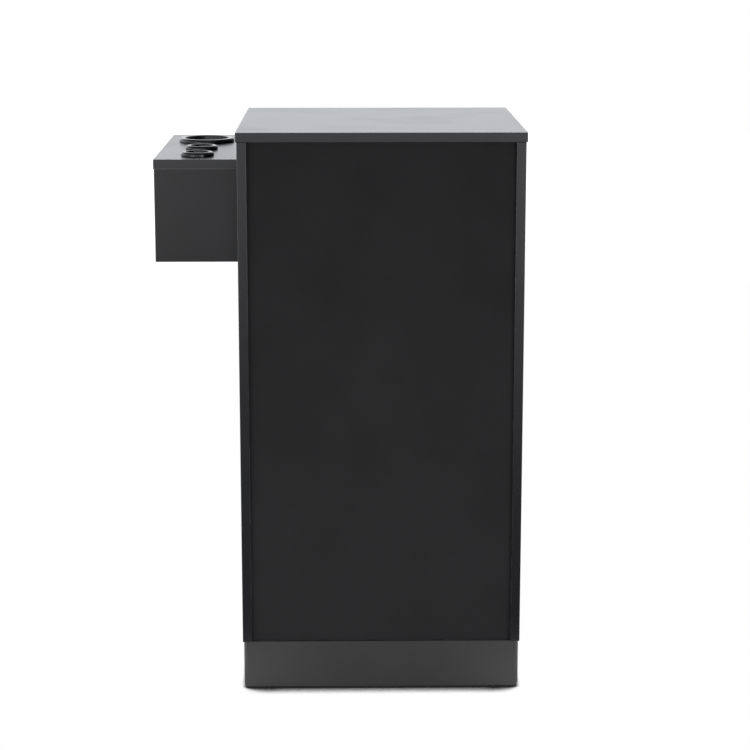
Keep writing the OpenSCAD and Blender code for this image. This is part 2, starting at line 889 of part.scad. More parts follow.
// Round cups in the door, slotted for the arm, with a flange on the door's back
module hinge_cups() {
    reach = cup_d / 2 - cup_wall;
    color(zinc) at_hinges() difference() {
        union() {
            translate([cup_x, 0, 0]) rod_y(cup_d, cup_low_y, pin_depth);
            translate([cup_x, pin_depth, 0]) rotate([-90, 0, 0]) linear_extrude(flange_t) cup_flange();
        }
        board(
            [cup_x - reach, cup_low_y + cup_wall, -cup_slot / 2],
            [cup_x + reach, pin_depth + flange_t + cut, cup_slot / 2]
        );
        rod_z(pin_d + 2 * pin_play, -pin_len / 2 - pin_play, pin_len / 2 + pin_play);
    }
}

module hinge_pins() {
    color(steel) at_hinges() rod_z(pin_d, -pin_len / 2, pin_len / 2);
}

// Side of a cranked arm: a knuckle on the pin, a neck round the door's edge and a thick end
module arm_outline(bar_y) {
    difference() {
        union() {
            circle(d = knuckle_d);
            translate([0, -arm_t / 2]) square([arm_neck, arm_t]);
            translate([arm_neck, 0]) circle(d = arm_t);
            translate([arm_neck - arm_t / 2, 0]) square([arm_t, bar_y + arm_t]);
            round_rect([panel_x + plate_t, bar_y], [elbow_x, bar_y + arm_bar], arm_end_r);
        }
        circle(d = pin_d + 2 * pin_play);
    }
}

// Cranked arms, hollow where they lie on their plates, with a slot and a screw hole
module hinge_arms() {
    bar_y = carcass_y + arm_start;
    half_in = arm_w / 2 - arm_wall;
    skin_x = elbow_x - arm_wall;
    run = arm_slot_len - fixing_hole_d;
    color(zinc) at_hinges() difference() {
        translate([0, 0, -arm_w / 2]) linear_extrude(arm_w) arm_outline(bar_y);
        board(
            [panel_x + plate_t - cut, bar_y + arm_wall, -half_in],
            [skin_x, bar_y + arm_bar - arm_wall, half_in]
        );
        translate([0, bar_y + adjust_screw, 0]) rod_x(fixing_hole_d, skin_x - cut, elbow_x + cut);
        translate([0, carcass_y + plate_line, 0]) {
            for (end = [-run / 2, run / 2])
                translate([0, end, 0]) rod_x(fixing_hole_d, skin_x - cut, elbow_x + cut);
            board(
                [skin_x - cut, -run / 2, -fixing_hole_d / 2],
                [elbow_x + cut, run / 2, fixing_hole_d / 2]
            );
        }
    }
}

// Flat outline of a hinge plate on the side panel, x along the depth of the cabinet
module plate_outline() {
    bar_y = carcass_y + arm_start;
    translate([bar_y, -arm_w / 2]) square([arm_bar, arm_w]);
    translate([carcass_y + plate_line, 0]) difference() {
        corner = [plate_wing / 2, plate_h / 2];
        round_rect(-corner, corner, plate_r);
        for (z = [-plate_screws / 2, plate_screws / 2]) translate([0, z]) circle(d = fixing_hole_d);
    }
}

module hinge_plates() {
    color(zinc) at_hinges() translate([panel_x, 0, 0])
        rotate([90, 0, 90]) linear_extrude(plate_t) plate_outline();
}

// Lock and catch

module lock_barrel() {
    color(satin) at_lock() difference() {
        union() {
            rod_y(collar_d, front_face_y - collar_t, front_face_y);
            rod_y(lock_d, front_face_y - cut, barrel_rear_y);
        }
        rod_y(plug_d + 2 * pin_play, plug_face_y - cut, barrel_rear_y + cut);
    }
}

module lock_nut() {
    color(zinc) at_lock() difference() {
        translate([0, front_back_y, 0]) rotate([-90, 0, 0])
            cylinder(d = nut_flats / cos(30), h = nut_t, $fn = 6);
        rod_y(lock_d + 2 * pin_play, front_back_y - cut, front_back_y + nut_t + cut);
    }
}

// Turning plug with its key slot, and a square tail that carries the cam
module lock_plug() {
    color(satin) at_lock() difference() {
        union() {
            rod_y(plug_d, plug_face_y, bolt_cam_y);
            translate([-tail_w / 2, bolt_cam_y - cut, -tail_w / 2])
                cube([tail_w, lock_sheet + cut, tail_w]);
        }
        translate([-key_slot_w / 2, plug_face_y - cut, -key_slot_len / 2])
            cube([key_slot_w, key_slot_depth + cut, key_slot_len]);
    }
}

// Cam behind the door with a round tip, hanging down while the door is unlocked
module lock_cam() {
    hole = tail_w + 2 * pin_play;
    tip = bolt_cam_w / 2 - bolt_cam_len;
    color(zinc) at_lock() translate([0, bolt_cam_y + lock_sheet, 0]) rotate([90, 0, 0])
        linear_extrude(lock_sheet) difference() {
            union() {
                for (end = [0, tip]) translate([0, end]) circle(d = bolt_cam_w);
                translate([-bolt_cam_w / 2, tip]) square([bolt_cam_w, -tip]);
            }
            square(hole, center = true);
        }
}

// Angle on the side panel whose lip the cam turns behind
module lock_strike() {
    half = strike_h / 2;
    color(zinc) translate([0, strike_y, lock_z]) difference() {
        union() {
            board([side_in - lock_sheet, 0, -half], [side_in, strike_base, half]);
            board([lip_x, 0, -half], [side_in, lock_sheet, half]);
        }
        for (z = [-strike_screws / 2, strike_screws / 2]) translate([0, strike_screw_back, z])
            rod_x(fixing_hole_d, side_in - lock_sheet - cut, side_in + cut);
    }
}

// Housing under the divider, with an ear on each side for a screw
module magnetic_catch() {
    color(nylon) translate([catch_x, catch_front_y, divider_z]) {
        board([-catch_body / 2, 0, -catch_h], [catch_body / 2, catch_d, 0]);
        translate([0, 0, -catch_ear_t]) linear_extrude(catch_ear_t) difference() {
            round_rect([-catch_w / 2, 0], [catch_w / 2, catch_d], keeper_r);
            for (x = [-1, 1] * (catch_w + catch_body) / 4)
                translate([x, catch_d / 2]) circle(d = fixing_hole_d);
        }
    }
}

// Steel plate on the door, held by one screw in its middle
module catch_keeper() {
    corner = [keeper_len / 2, keeper_h / 2];
    color(zinc) translate([catch_x, front_back_y, divider_z - catch_h / 2])
        rotate([-90, 0, 0]) linear_extrude(keeper_t) difference() {
            round_rect(-corner, corner, keeper_r);
            circle(d = fixing_hole_d);
        }
}

// Tool holder

// Seat of a ring's sleeve in the holder's top board
module ring_seat(hole_d) {
    seat_d = hole_d + 2 * (sleeve_wall + panel_play);
    rod_z(seat_d, holder_under_z - cut, holder_top_z + cut);
}

module holder_top() {
    color(laminate) difference() {
        board(
            [side_out, holder_front_y, holder_under_z],
            [holder_out_x, holder_rear_y, holder_top_z]
        );
        translate([ring_x, dryer_y, 0]) ring_seat(dryer_hole_d);
        for (y = iron_ys) translate([ring_x, y, 0]) ring_seat(iron_hole_d);
    }
}

module holder_rear_board() {
    color(laminate) board(
        [side_out, holder_rear_y - board_t, holder_low_z],
        [holder_box_x, holder_rear_y, holder_under_z]
    );
}

module holder_front_board() {
    color(laminate) board(
        [side_out, holder_front_y, holder_low_z],
        [holder_box_x, holder_front_y + board_t, holder_under_z]
    );
}

module holder_outer_board() {
    color(laminate) board(
        [holder_box_x - board_t, holder_front_y + board_t, holder_low_z],
        [holder_box_x, holder_rear_y - board_t, holder_under_z]
    );
}

module holder_inner_board() {
    color(laminate) difference() {
        board(
            [side_out, holder_front_y + board_t, holder_low_z],
            [side_out + board_t, holder_rear_y - board_t, holder_under_z]
        );
        at_holder_bolts()
            rod_x(holder_bolt_d + 2 * pin_play, board_t - cut, board_t + holder_bolt_bite + pin_play);
    }
}

module holder_floor() {
    color(laminate) board(
        [side_out + board_t, holder_front_y + board_t, holder_low_z],
        [holder_box_x - board_t, holder_rear_y - board_t, holder_low_z + board_t]
    );
}

module holder_bolts() {
    color(zinc) at_holder_bolts() {
        rod_x(holder_head_d, -holder_head_t, 0);
        rod_x(holder_bolt_d, -holder_head_t / 2, board_t + holder_bolt_bite);
    }
}

// Moulded ring: a rounded rim on the board, and a sleeve through it with a flared mouth
module tool_ring(hole_d, rim_w) {
    r = hole_d / 2;
    lip = rim_flare + rim_lip_r;
    lip_z = rim_h - rim_lip_r;
    throat_z = rim_h - flare_depth;
    rotate_extrude() translate([r, 0]) difference() {
        union() {
            translate([0, -sleeve_len]) square([sleeve_wall, sleeve_len + cut]);
            square([rim_w - rim_edge_r, lip_z]);
            square([rim_w, rim_h - rim_edge_r]);
            translate([lip, 0]) square([rim_w - lip - rim_edge_r, rim_h]);
            translate([lip, lip_z]) circle(rim_lip_r);
            translate([rim_w - rim_edge_r, rim_h - rim_edge_r]) intersection() {
                circle(rim_edge_r);
                square(rim_edge_r);
            }
        }
        polygon([[-cut, throat_z], [0, throat_z], [rim_flare, lip_z], [rim_flare, rim_h], [-cut, rim_h]]);
    }
}

module dryer_ring() {
    color(gloss_black) translate([ring_x, dryer_y, holder_top_z])
        tool_ring(dryer_hole_d, dryer_rim_w);
}

module iron_rings() {
    color(gloss_black) for (y = iron_ys) translate([ring_x, y, holder_top_z])
        tool_ring(iron_hole_d, iron_rim_w);
}

at_origin() top_panel();
at_origin() left_side_panel();
at_origin() right_side_panel();
at_origin() bottom_panel();
at_origin() back_panel();
at_origin() divider_panel();
at_origin() top_rails();
at_origin() adjustable_shelf();
at_origin() shelf_pins();
at_origin() plinth_front_board();
at_origin() plinth_rear_board();
at_origin() plinth_end_boards();
at_origin() floor_glides();
at_origin() fitting_cams();
at_origin() fitting_bolts();
at_origin() cabinet_rails();
at_origin() holder_top();
at_origin() holder_rear_board();
at_origin() holder_front_board();
at_origin() holder_outer_board();
at_origin() holder_inner_board();
at_origin() holder_floor();
at_origin() holder_bolts();
at_origin() dryer_ring();
at_origin() iron_rings();
at_origin() hinge_plates();
at_origin() hinge_arms();
at_origin() hinge_cups();
at_origin() hinge_pins();
at_origin() magnetic_catch();
at_origin() catch_keeper();
at_origin() door_panel();
at_origin() door_handle();
at_origin() lock_barrel();
at_origin() lock_nut();
at_origin() lock_plug();
at_origin() lock_cam();
at_origin() lock_strike();
for (i = [1 : drawer_count]) {
    at_origin() drawer_front(i);
    at_origin() drawer_sides(i);
    at_origin() drawer_back(i);
    at_origin() drawer_bottom(i);
    at_origin() drawer_handle(i);
    at_origin() drawer_rails(i);
    at_origin() drawer_middle_rails(i);
}
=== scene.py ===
# %% [markdown]
# A salon styling station in black laminate
#
# The object is a tall cabinet on a grey plinth, photographed from behind, with a box on its side that
# holds three tool rings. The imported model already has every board, slide, hinge and ring at its real size
# and place, so nothing here moves or resizes a part. This lesson dresses it: eased board edges, laminate,
# hardboard, metal and moulded plastic, and the small screws that hold the fittings.

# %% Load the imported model
import json
import math

import bmesh
import bpy
from mathutils import Matrix, Vector


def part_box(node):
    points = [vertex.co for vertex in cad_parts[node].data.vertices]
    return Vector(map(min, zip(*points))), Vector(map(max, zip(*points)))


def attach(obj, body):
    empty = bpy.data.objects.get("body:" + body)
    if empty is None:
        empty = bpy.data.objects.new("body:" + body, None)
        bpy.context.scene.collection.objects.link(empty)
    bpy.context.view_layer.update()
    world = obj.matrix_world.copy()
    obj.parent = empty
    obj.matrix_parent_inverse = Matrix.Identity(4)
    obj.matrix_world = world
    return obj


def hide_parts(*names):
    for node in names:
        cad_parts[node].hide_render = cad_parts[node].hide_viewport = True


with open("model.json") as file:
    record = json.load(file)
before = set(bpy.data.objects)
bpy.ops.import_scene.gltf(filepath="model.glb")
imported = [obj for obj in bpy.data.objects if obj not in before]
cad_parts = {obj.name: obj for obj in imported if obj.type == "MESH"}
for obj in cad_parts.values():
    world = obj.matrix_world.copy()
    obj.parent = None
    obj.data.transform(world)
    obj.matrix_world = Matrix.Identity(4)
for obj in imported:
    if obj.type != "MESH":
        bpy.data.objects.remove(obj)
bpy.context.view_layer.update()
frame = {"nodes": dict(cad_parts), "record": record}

scene = bpy.context.scene

# %% [markdown]
# The camera
#
# The photograph looks at the back of the cabinet from a little above its top, with a long lens from more
# than three metres away. A constraint could aim the camera, but a plain turn and tilt can be matched to the
# corners of the boards, which is how these were found. The lens is shifted a little, as on a view camera,
# because the upright edges in the photograph hardly converge.

# %% Place the camera
CAMERA_ASIDE = 0.0528
CAMERA_BACK = 3.358
CAMERA_HEIGHT = 1.205
CAMERA_TURN = math.radians(-0.78)
CAMERA_TILT = math.radians(11.49)
LENS_MM = 98.1
LENS_SHIFT = -0.04

top_low, top_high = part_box("top_panel")
top_middle = (top_low + top_high) / 2


def add_camera():
    """Camera behind the cabinet, aimed by a turn about the upright axis and a tilt down"""
    data = bpy.data.cameras.new("photo_camera")
    data.lens = LENS_MM
    data.shift_y = LENS_SHIFT
    camera = bpy.data.objects.new("photo_camera", data)
    spot = Vector((top_middle.x + CAMERA_ASIDE, top_middle.y + CAMERA_BACK, CAMERA_HEIGHT))
    turn = Matrix.Rotation(math.pi + CAMERA_TURN, 4, "Z")
    tilt = Matrix.Rotation(math.pi / 2 - CAMERA_TILT, 4, "X")
    camera.matrix_world = Matrix.Translation(spot) @ turn @ tilt
    scene.collection.objects.link(camera)
    scene.camera = camera
    return spot


camera_spot = add_camera()
print("Camera at", [round(c, 3) for c in camera_spot])

# %% [markdown]
# Small helpers for node trees
#
# A node tree is built in the same few moves each time: add a node, set its values, link its inputs. They
# could be written out for each tree. A few short helpers do it instead, so that the recipes below read as
# recipes.

# %% Node helpers
def feed(tree, socket, source):
    """Links a socket to another one, or writes a plain value into it"""
    if isinstance(source, bpy.types.NodeSocket):
        tree.links.new(source, socket)
    else:
        socket.default_value = source


def add_node(tree, kind, inputs=None, **settings):
    """A new node with its settings and its inputs"""
    node = tree.nodes.new(kind)
    for name, value in settings.items():
        setattr(node, name, value)
    for name, source in (inputs or {}).items():
        feed(tree, node.inputs[name], source)
    return node


def maths(tree, operation, *terms):
    """The result of one Math node"""
    node = tree.nodes.new("ShaderNodeMath")
    node.operation = operation
    for socket, term in zip(node.inputs, terms):
        feed(tree, socket, term)
    return node.outputs[0]


def ramp(tree, value, low, high, start=0.0, end=1.0):
    """A value eased from start to end while it rises from low to high"""
    limits = {"Value": value, "From Min": low, "From Max": high, "To Min": start, "To Max": end}
    return add_node(tree, "ShaderNodeMapRange", limits, interpolation_type="SMOOTHSTEP").outputs["Result"]


# A Mix node has sockets for every kind of data. These are the places of the ones for colours
MIX_SHARE, MIX_FIRST, MIX_SECOND, MIX_RESULT = 0, 6, 7, 2


def mix_colours(tree, share, first, second):
    """First colour where share is 0, second where it is 1"""
    inputs = {MIX_SHARE: share, MIX_FIRST: first, MIX_SECOND: second}
    return add_node(tree, "ShaderNodeMix", inputs, data_type="RGBA").outputs[MIX_RESULT]


def object_spot(tree):
    """The place on a piece, in metres from the origin that all pieces share"""
    return add_node(tree, "ShaderNodeTexCoord").outputs["Object"]


print("Node helpers are ready")

# %% [markdown]
# The white studio
#
# The photograph has a pure white surround. White walls could be built round the cabinet, but they would
# flood it with light. The world does it instead: it shows white to the camera and in reflections, and
# lights the object at a plain level, so that black laminate stays black. In reflections the lit backdrop,
# on the side of the fronts, is brighter than the room behind the camera: the top board mirrors the one and
# the upright edges the other. Reflections are a little cool, as daylight lamps make them, and they grow
# dark towards the ceiling, which gives the rings their black sides. The world isn't sampled as a lamp, so
# that each ray really reads its own kind.

# %% World
FILL_LIGHT = 0.28
BACKDROP_LEVEL, ROOM_LEVEL = 1.30, 0.93
SIDES_MEET = 0.3
CEILING_LEVEL = 0.10
CEILING_START, CEILING_END = 0.25, 0.75
PURE_WHITE = (1.0, 1.0, 1.0, 1.0)
COOL_WHITE = (0.955, 0.970, 1.0, 1.0)


def seen_rays(tree):
    """Light Path outputs, and 1 on rays that show the surround"""
    rays = add_node(tree, "ShaderNodeLightPath").outputs
    direct = maths(tree, "MAXIMUM", rays["Is Camera Ray"], rays["Is Transmission Ray"])
    return rays, direct


def make_world():
    """White to the camera, graded walls in reflections, and an even fill on matt surfaces"""
    world = bpy.data.worlds.new("white_studio")
    world.use_nodes = True
    world.cycles.sampling_method = "NONE"
    tree = world.node_tree
    rays, direct = seen_rays(tree)
    way = add_node(tree, "ShaderNodeTexCoord").outputs["Generated"]
    course = add_node(tree, "ShaderNodeSeparateXYZ", {"Vector": way}).outputs
    side = ramp(tree, course["Y"], -SIDES_MEET, SIDES_MEET, BACKDROP_LEVEL, ROOM_LEVEL)
    ceiling = ramp(tree, course["Z"], CEILING_START, CEILING_END, 1.0, CEILING_LEVEL)
    walls = maths(tree, "MULTIPLY", side, ceiling)
    mirrored = maths(tree, "MULTIPLY", rays["Is Glossy Ray"], walls)
    fill = maths(tree, "MULTIPLY", rays["Is Diffuse Ray"], FILL_LIGHT)
    surround = tree.nodes["Background"].inputs
    feed(tree, surround["Color"], mix_colours(tree, direct, COOL_WHITE, PURE_WHITE))
    level = maths(tree, "MAXIMUM", direct, maths(tree, "MAXIMUM", mirrored, fill))
    feed(tree, surround["Strength"], level)
    return world


scene.world = make_world()
scene.view_settings.view_transform = "Standard"
print("World:", scene.world.name)

# %% [markdown]
# The floor
#
# A white sweep that the camera can't tell from the backdrop, apart from the thin shadow where the plinth
# stands. A matt floor would take a shadow from every lamp, so the camera sees one that glows evenly, and
# ambient occlusion gives the contact shadow alone. It reaches further on the side where the camera stands,
# because the bright backdrop lights the floor from the other side, so its normal leans that way. In
# reflections the floor is dim close to the cabinet, which keeps light from it, and bright far off. This is
# why the upright edges in the photograph fade from grey at the top to black at the plinth. Two patches
# beside the plinth stay bright, because the round corners of the plinth are light in the photograph.

# %% Floor in reflections
FLOOR_SIDES_MEET = 1.0
NEAR_DISTANCE, FAR_DISTANCE = 0.3, 9.0
NEAR_LEVEL = 0.08
FRONT_NEAR, FRONT_FAR = 0.4, 6.0
FRONT_LEVEL = 0.30
FRONT_END = 0.05
PATCH_ALONG = (-0.3, -0.1, 0.40, 0.52)
PATCH_ASIDE = (0.0, 0.42, 0.5, 0.9)


def patch(tree, value, start, full, fade, end):
    """1 from full to fade, eased to 0 at start and at end"""
    return maths(tree, "MULTIPLY", ramp(tree, value, start, full), ramp(tree, value, fade, end, 1.0, 0.0))


def mirrored_floor(tree):
    """Level of the floor in reflections: dim near the cabinet, with the two light patches beside it"""
    spot = object_spot(tree)
    place = add_node(tree, "ShaderNodeSeparateXYZ", {"Vector": spot}).outputs
    aside = maths(tree, "ABSOLUTE", maths(tree, "SUBTRACT", place["X"], top_middle.x))
    side = ramp(tree, place["Y"], -FLOOR_SIDES_MEET, FLOOR_SIDES_MEET, BACKDROP_LEVEL, ROOM_LEVEL)
    behind = ramp(tree, place["Y"], NEAR_DISTANCE, FAR_DISTANCE, NEAR_LEVEL, 1.0)
    reach = add_node(tree, "ShaderNodeVectorMath", {"Vector": spot}, operation="LENGTH")
    open_floor = ramp(tree, reach.outputs["Value"], FRONT_NEAR, FRONT_FAR, FRONT_LEVEL, 1.0)
    in_front = ramp(tree, place["Y"], FRONT_END, NEAR_DISTANCE, 1.0, 0.0)
    front = maths(tree, "MULTIPLY", open_floor, in_front)
    along = patch(tree, place["Y"], *PATCH_ALONG)
    across = patch(tree, aside, *PATCH_ASIDE)
    beside = maths(tree, "MULTIPLY", along, across)
    lit = maths(tree, "MAXIMUM", behind, maths(tree, "MAXIMUM", front, beside))
    return maths(tree, "MULTIPLY", side, lit)


print("The mirrored floor rises from", NEAR_LEVEL, "to 1 within", FAR_DISTANCE, "metres")

# %% Contact shadow
SHADOW_SAMPLES = 16
WIDE_SHADOW = {"reach": 0.045, "low": 0.39, "high": 0.62}
THIN_SHADOW = {"reach": 0.010, "low": 0.43, "high": 0.93}
LEANING_NORMAL = Vector((0.0, -1.0, 1.0)).normalized()


def contact_shadow(tree, reach, low, high, normal=None):
    """0 where the floor is shut in, 1 in the open"""
    near = add_node(tree, "ShaderNodeAmbientOcclusion", {"Distance": reach}, samples=SHADOW_SAMPLES)
    if normal:
        lean = add_node(tree, "ShaderNodeCombineXYZ", dict(zip("XYZ", normal)))
        feed(tree, near.inputs["Normal"], lean.outputs[0])
    return ramp(tree, near.outputs["AO"], low, high)


print("The contact shadow reaches", WIDE_SHADOW["reach"], "metres")

# %% Floor
FLOOR_HALF = 9.0
FLOOR_WHITE = 0.95
DEEPEST_SHADOW = 0.02


def floor_material():
    """White with a contact shadow to the camera, graded in reflections, and matt to every other ray"""
    material = bpy.data.materials.new("white_sweep")
    material.use_nodes = True
    material.cycles.emission_sampling = "NONE"
    tree = material.node_tree
    tree.nodes.clear()
    rays, direct = seen_rays(tree)
    wide = contact_shadow(tree, **WIDE_SHADOW, normal=LEANING_NORMAL)
    thin = contact_shadow(tree, **THIN_SHADOW)
    contact = maths(tree, "MAXIMUM", maths(tree, "MINIMUM", wide, thin), DEEPEST_SHADOW)
    level = maths(tree, "MAXIMUM", direct, mirrored_floor(tree))
    glow = add_node(tree, "ShaderNodeEmission", {"Color": PURE_WHITE})
    feed(tree, glow.inputs["Strength"], maths(tree, "MULTIPLY", contact, level))
    sweep = (FLOOR_WHITE, FLOOR_WHITE, FLOOR_WHITE, 1.0)
    matte = add_node(tree, "ShaderNodeBsdfDiffuse", {"Color": sweep})
    shown = maths(tree, "MAXIMUM", direct, rays["Is Glossy Ray"])
    blend = add_node(tree, "ShaderNodeMixShader", {0: shown, 1: matte.outputs[0], 2: glow.outputs[0]})
    add_node(tree, "ShaderNodeOutputMaterial", {"Surface": blend.outputs[0]})
    return material


def add_floor():
    """One square that is part of the stage and not of the object"""
    mesh = bpy.data.meshes.new("floor")
    signs = ((-1, -1), (1, -1), (1, 1), (-1, 1))
    mesh.from_pydata([(FLOOR_HALF * x, FLOOR_HALF * y, 0) for x, y in signs], [], [(0, 1, 2, 3)])
    mesh.materials.append(floor_material())
    floor = bpy.data.objects.new("floor", mesh)
    scene.collection.objects.link(floor)


add_floor()
print("Floor of", 2 * FLOOR_HALF, "metres")

# %% [markdown]
# Softboxes
#
# The near ring in the photograph mirrors two upright bright patches, one on each side: two softboxes on the
# camera's side. Glowing panels could stand there, but area lamps give less noise and are easily kept out of
# reflections. The two end at the height of the top board, because a wide lamp above it would glare in it
# when the cabinet is seen from the front. Only a narrow strip stands higher, for the light in the mouths of
# the rings. A low lamp makes the back panel a little lighter towards the plinth. Two more on the other side
# and one overhead fill the insides of the drawers and of the cabinet. These four don't show in reflections.

# %% Softbox
def add_softbox(name, spot, aim, width, height, radiance, mirrored=True):
    """Area lamp of an even radiance, turned towards a point and hidden from the camera"""
    data = bpy.data.lights.new(name, "AREA")
    data.shape = "RECTANGLE"
    data.size = width
    data.size_y = height
    data.energy = radiance * math.pi * width * height
    lamp = bpy.data.objects.new(name, data)
    lamp.location = spot
    lamp.rotation_mode = "QUATERNION"
    lamp.rotation_quaternion = (Vector(aim) - Vector(spot)).to_track_quat("-Z", "Y")
    lamp.visible_camera = False
    lamp.visible_glossy = mirrored
    scene.collection.objects.link(lamp)
    print(name, "of", width, "by", round(height, 3), "metres")


AIM_HEIGHT = 0.75
aim_spot = Vector((top_middle.x, top_middle.y, AIM_HEIGHT))
print("Lamps aim at", [round(c, 3) for c in aim_spot])

# %% Lamps on the camera's side
SIDE_DISTANCE = 2.5
SIDE_FOOT, STRIP_END = 0.2, 1.7
LOW_DISTANCE, LOW_HEIGHT = 1.0, 0.15


def add_side_softbox(name, degrees, low, high, width, radiance):
    """An upright softbox on the camera's side, some degrees away from the line of sight"""
    turn = math.radians(degrees)
    away = Vector((math.sin(turn), math.cos(turn), 0)) * SIDE_DISTANCE
    spot = (aim_spot.x + away.x, aim_spot.y + away.y, (low + high) / 2)
    add_softbox(name, spot, (aim_spot.x, aim_spot.y, spot[2]), width, high - low, radiance)


add_side_softbox("softbox_left", degrees=35, low=SIDE_FOOT, high=top_low.z, width=1.3, radiance=4.0)
add_side_softbox("softbox_right", degrees=-30, low=SIDE_FOOT, high=top_low.z, width=1.2, radiance=3.6)
add_side_softbox("softbox_strip", degrees=-30, low=top_low.z, high=STRIP_END, width=0.45, radiance=2.0)
low_spot, low_aim = (top_middle.x, LOW_DISTANCE, LOW_HEIGHT), (top_middle.x, 0, LOW_HEIGHT)
add_softbox("softbox_low", low_spot, low_aim, width=1.4, height=0.2, radiance=3.2, mirrored=False)

# %% Lamps on the side of the fronts
FRONT_ASIDE, FRONT_DISTANCE, FRONT_HEIGHT = 1.6, -2.4, 1.1
OVERHEAD_DISTANCE, OVERHEAD_HEIGHT = -1.3, 2.6
for name, side in (("softbox_front_left", -1), ("softbox_front_right", 1)):
    spot = (side * FRONT_ASIDE, FRONT_DISTANCE, FRONT_HEIGHT)
    add_softbox(name, spot, aim_spot, width=1.2, height=1.2, radiance=5.0, mirrored=False)
spot = (top_middle.x, OVERHEAD_DISTANCE, OVERHEAD_HEIGHT)
add_softbox("softbox_overhead", spot, aim_spot, width=1.6, height=1.2, radiance=2.5, mirrored=False)

# %% [markdown]
# Shared effects as node groups
#
# Laminate, hardboard, plastic and metal share a few effects: a pressed grain, signs of handling, and eased
# edges that are painted lighter, partly as wear and partly as a painted highlight. They could be drawn anew
# in every material. As node groups they are built once, with inputs for their sizes. A group only gives
# masks and heights that vary over the surface. The shader and its fixed numbers stay in each material.

# %% Group helpers
def new_group(name, inputs, outputs):
    """An empty shader group with number or vector inputs, its inner sockets and its result sockets"""
    tree = bpy.data.node_groups.new(name, "ShaderNodeTree")
    for label, value in inputs.items():
        kind = "NodeSocketVector" if isinstance(value, tuple) else "NodeSocketFloat"
        tree.interface.new_socket(label, in_out="INPUT", socket_type=kind).default_value = value
    for label in outputs:
        tree.interface.new_socket(label, in_out="OUTPUT", socket_type="NodeSocketFloat")
    given = tree.nodes.new("NodeGroupInput").outputs
    result = tree.nodes.new("NodeGroupOutput").inputs
    return tree, given, result


def noise(tree, vector, scale, detail=2.0):
    """Soft noise between 0 and 1"""
    inputs = {"Vector": vector, "Scale": scale, "Detail": detail}
    return add_node(tree, "ShaderNodeTexNoise", inputs).outputs["Fac"]


def scaled(tree, vector, factors):
    """A vector times one factor for each axis"""
    inputs = {0: vector, 1: factors}
    return add_node(tree, "ShaderNodeVectorMath", inputs, operation="MULTIPLY").outputs[0]


print("Group helpers are ready")

# %% Pressed grain
EMBOSS_TO_PORES = 0.4
PIT_RANGE = (0.56, 0.68)
TONES_PER_METRE = 6.0


def pressed_grain():
    """Fine emboss with short pores, drawn out by Stretch, and a slow drift of tone"""
    tree, given, result = new_group(
        "pressed_grain", {"Stretch": (1.0, 1.0, 1.0), "Per metre": 900.0}, ("Height", "Tone"))
    drawn = scaled(tree, object_spot(tree), given["Stretch"])
    emboss = noise(tree, drawn, given["Per metre"])
    pores = noise(tree, drawn, maths(tree, "MULTIPLY", given["Per metre"], EMBOSS_TO_PORES), detail=1.0)
    pits = ramp(tree, pores, *PIT_RANGE)
    feed(tree, result["Height"], maths(tree, "SUBTRACT", emboss, pits))
    feed(tree, result["Tone"], noise(tree, object_spot(tree), TONES_PER_METRE, detail=4.0))
    return tree


GRAIN = pressed_grain()
print("Group:", GRAIN.name)

# %% Signs of handling
SMUDGE_RANGE = (0.42, 0.72)
SCRATCH_TURN = (0.5, 0.7, 0.4)
SCRATCHES_PER_METRE = (12.0, 900.0, 900.0)
SCRATCH_RANGE = (0.72, 0.78)


def handling():
    """Wiped smudges and a few fine scratches"""
    tree, given, result = new_group("handling", {"Smudges per metre": 8.0}, ("Smudge", "Scratch"))
    cloud = noise(tree, object_spot(tree), given["Smudges per metre"], detail=5.0)
    feed(tree, result["Smudge"], ramp(tree, cloud, *SMUDGE_RANGE))
    turned = add_node(tree, "ShaderNodeMapping", {"Vector": object_spot(tree), "Rotation": SCRATCH_TURN})
    streaks = noise(tree, scaled(tree, turned.outputs[0], SCRATCHES_PER_METRE), scale=1.0, detail=1.0)
    feed(tree, result["Scratch"], ramp(tree, streaks, *SCRATCH_RANGE))
    return tree


HANDLING = handling()
print("Group:", HANDLING.name)

# %% Edge wear and painted highlight
BREAK_RANGE = (0.35, 0.65)


def edge_wear_and_highlight():
    """The eased corners of a piece, broken up by noise: a mask for wear and for a painted edge highlight"""
    tree, given, result = new_group("edge_wear_and_highlight", {"Breaks per metre": 45.0}, ("Wear and highlight",))
    eased = add_node(tree, "ShaderNodeAttribute", attribute_name="eased").outputs["Fac"]
    cloud = noise(tree, object_spot(tree), given["Breaks per metre"], detail=3.0)
    feed(tree, result["Wear and highlight"], maths(tree, "MULTIPLY", eased, ramp(tree, cloud, *BREAK_RANGE)))
    return tree


EDGE_WEAR_AND_HIGHLIGHT = edge_wear_and_highlight()
print("Group:", EDGE_WEAR_AND_HIGHLIGHT.name)

# %% [markdown]
# Laminate, hardboard and plastic
#
# Melamine laminate is a dark, slightly embossed skin with a satin sheen, and its edge band is smoother than
# its faces. A picture of it would have to be unwrapped onto every board, while noise in the object's own
# metres has the right scale everywhere. One recipe covers the boards, the plinth, the hardboard and the
# plastics: a base colour that drifts a little, a roughness that handling changes, and a bump from the grain.
# The boards carry attributes that the recipe reads: eased for their corners, which it paints lighter, partly
# as wear and partly as a painted highlight, band for their edge faces, and one for a pale corner, which is a
# painted highlight. The upright boards of the tool holder have a coarser and duller laminate, with a darker
# base colour that is painted shade.

# %% Material helpers
def use_group(tree, group, **inputs):
    """Places a node group. Its values are named like its inputs, with underscores for spaces"""
    node = tree.nodes.new("ShaderNodeGroup")
    node.node_tree = group
    for name, value in inputs.items():
        node.inputs[name.replace("_", " ").capitalize()].default_value = value
    return node.outputs


def grey(level, blue=1.0):
    """A grey, or a cool one where blue is more than 1"""
    return (level, level, level * blue, 1.0)


def new_material(name):
    """A material, its tree and the inputs of its shader"""
    material = bpy.data.materials.new(name)
    material.use_nodes = True
    tree = material.node_tree
    return material, tree, tree.nodes["Principled BSDF"].inputs


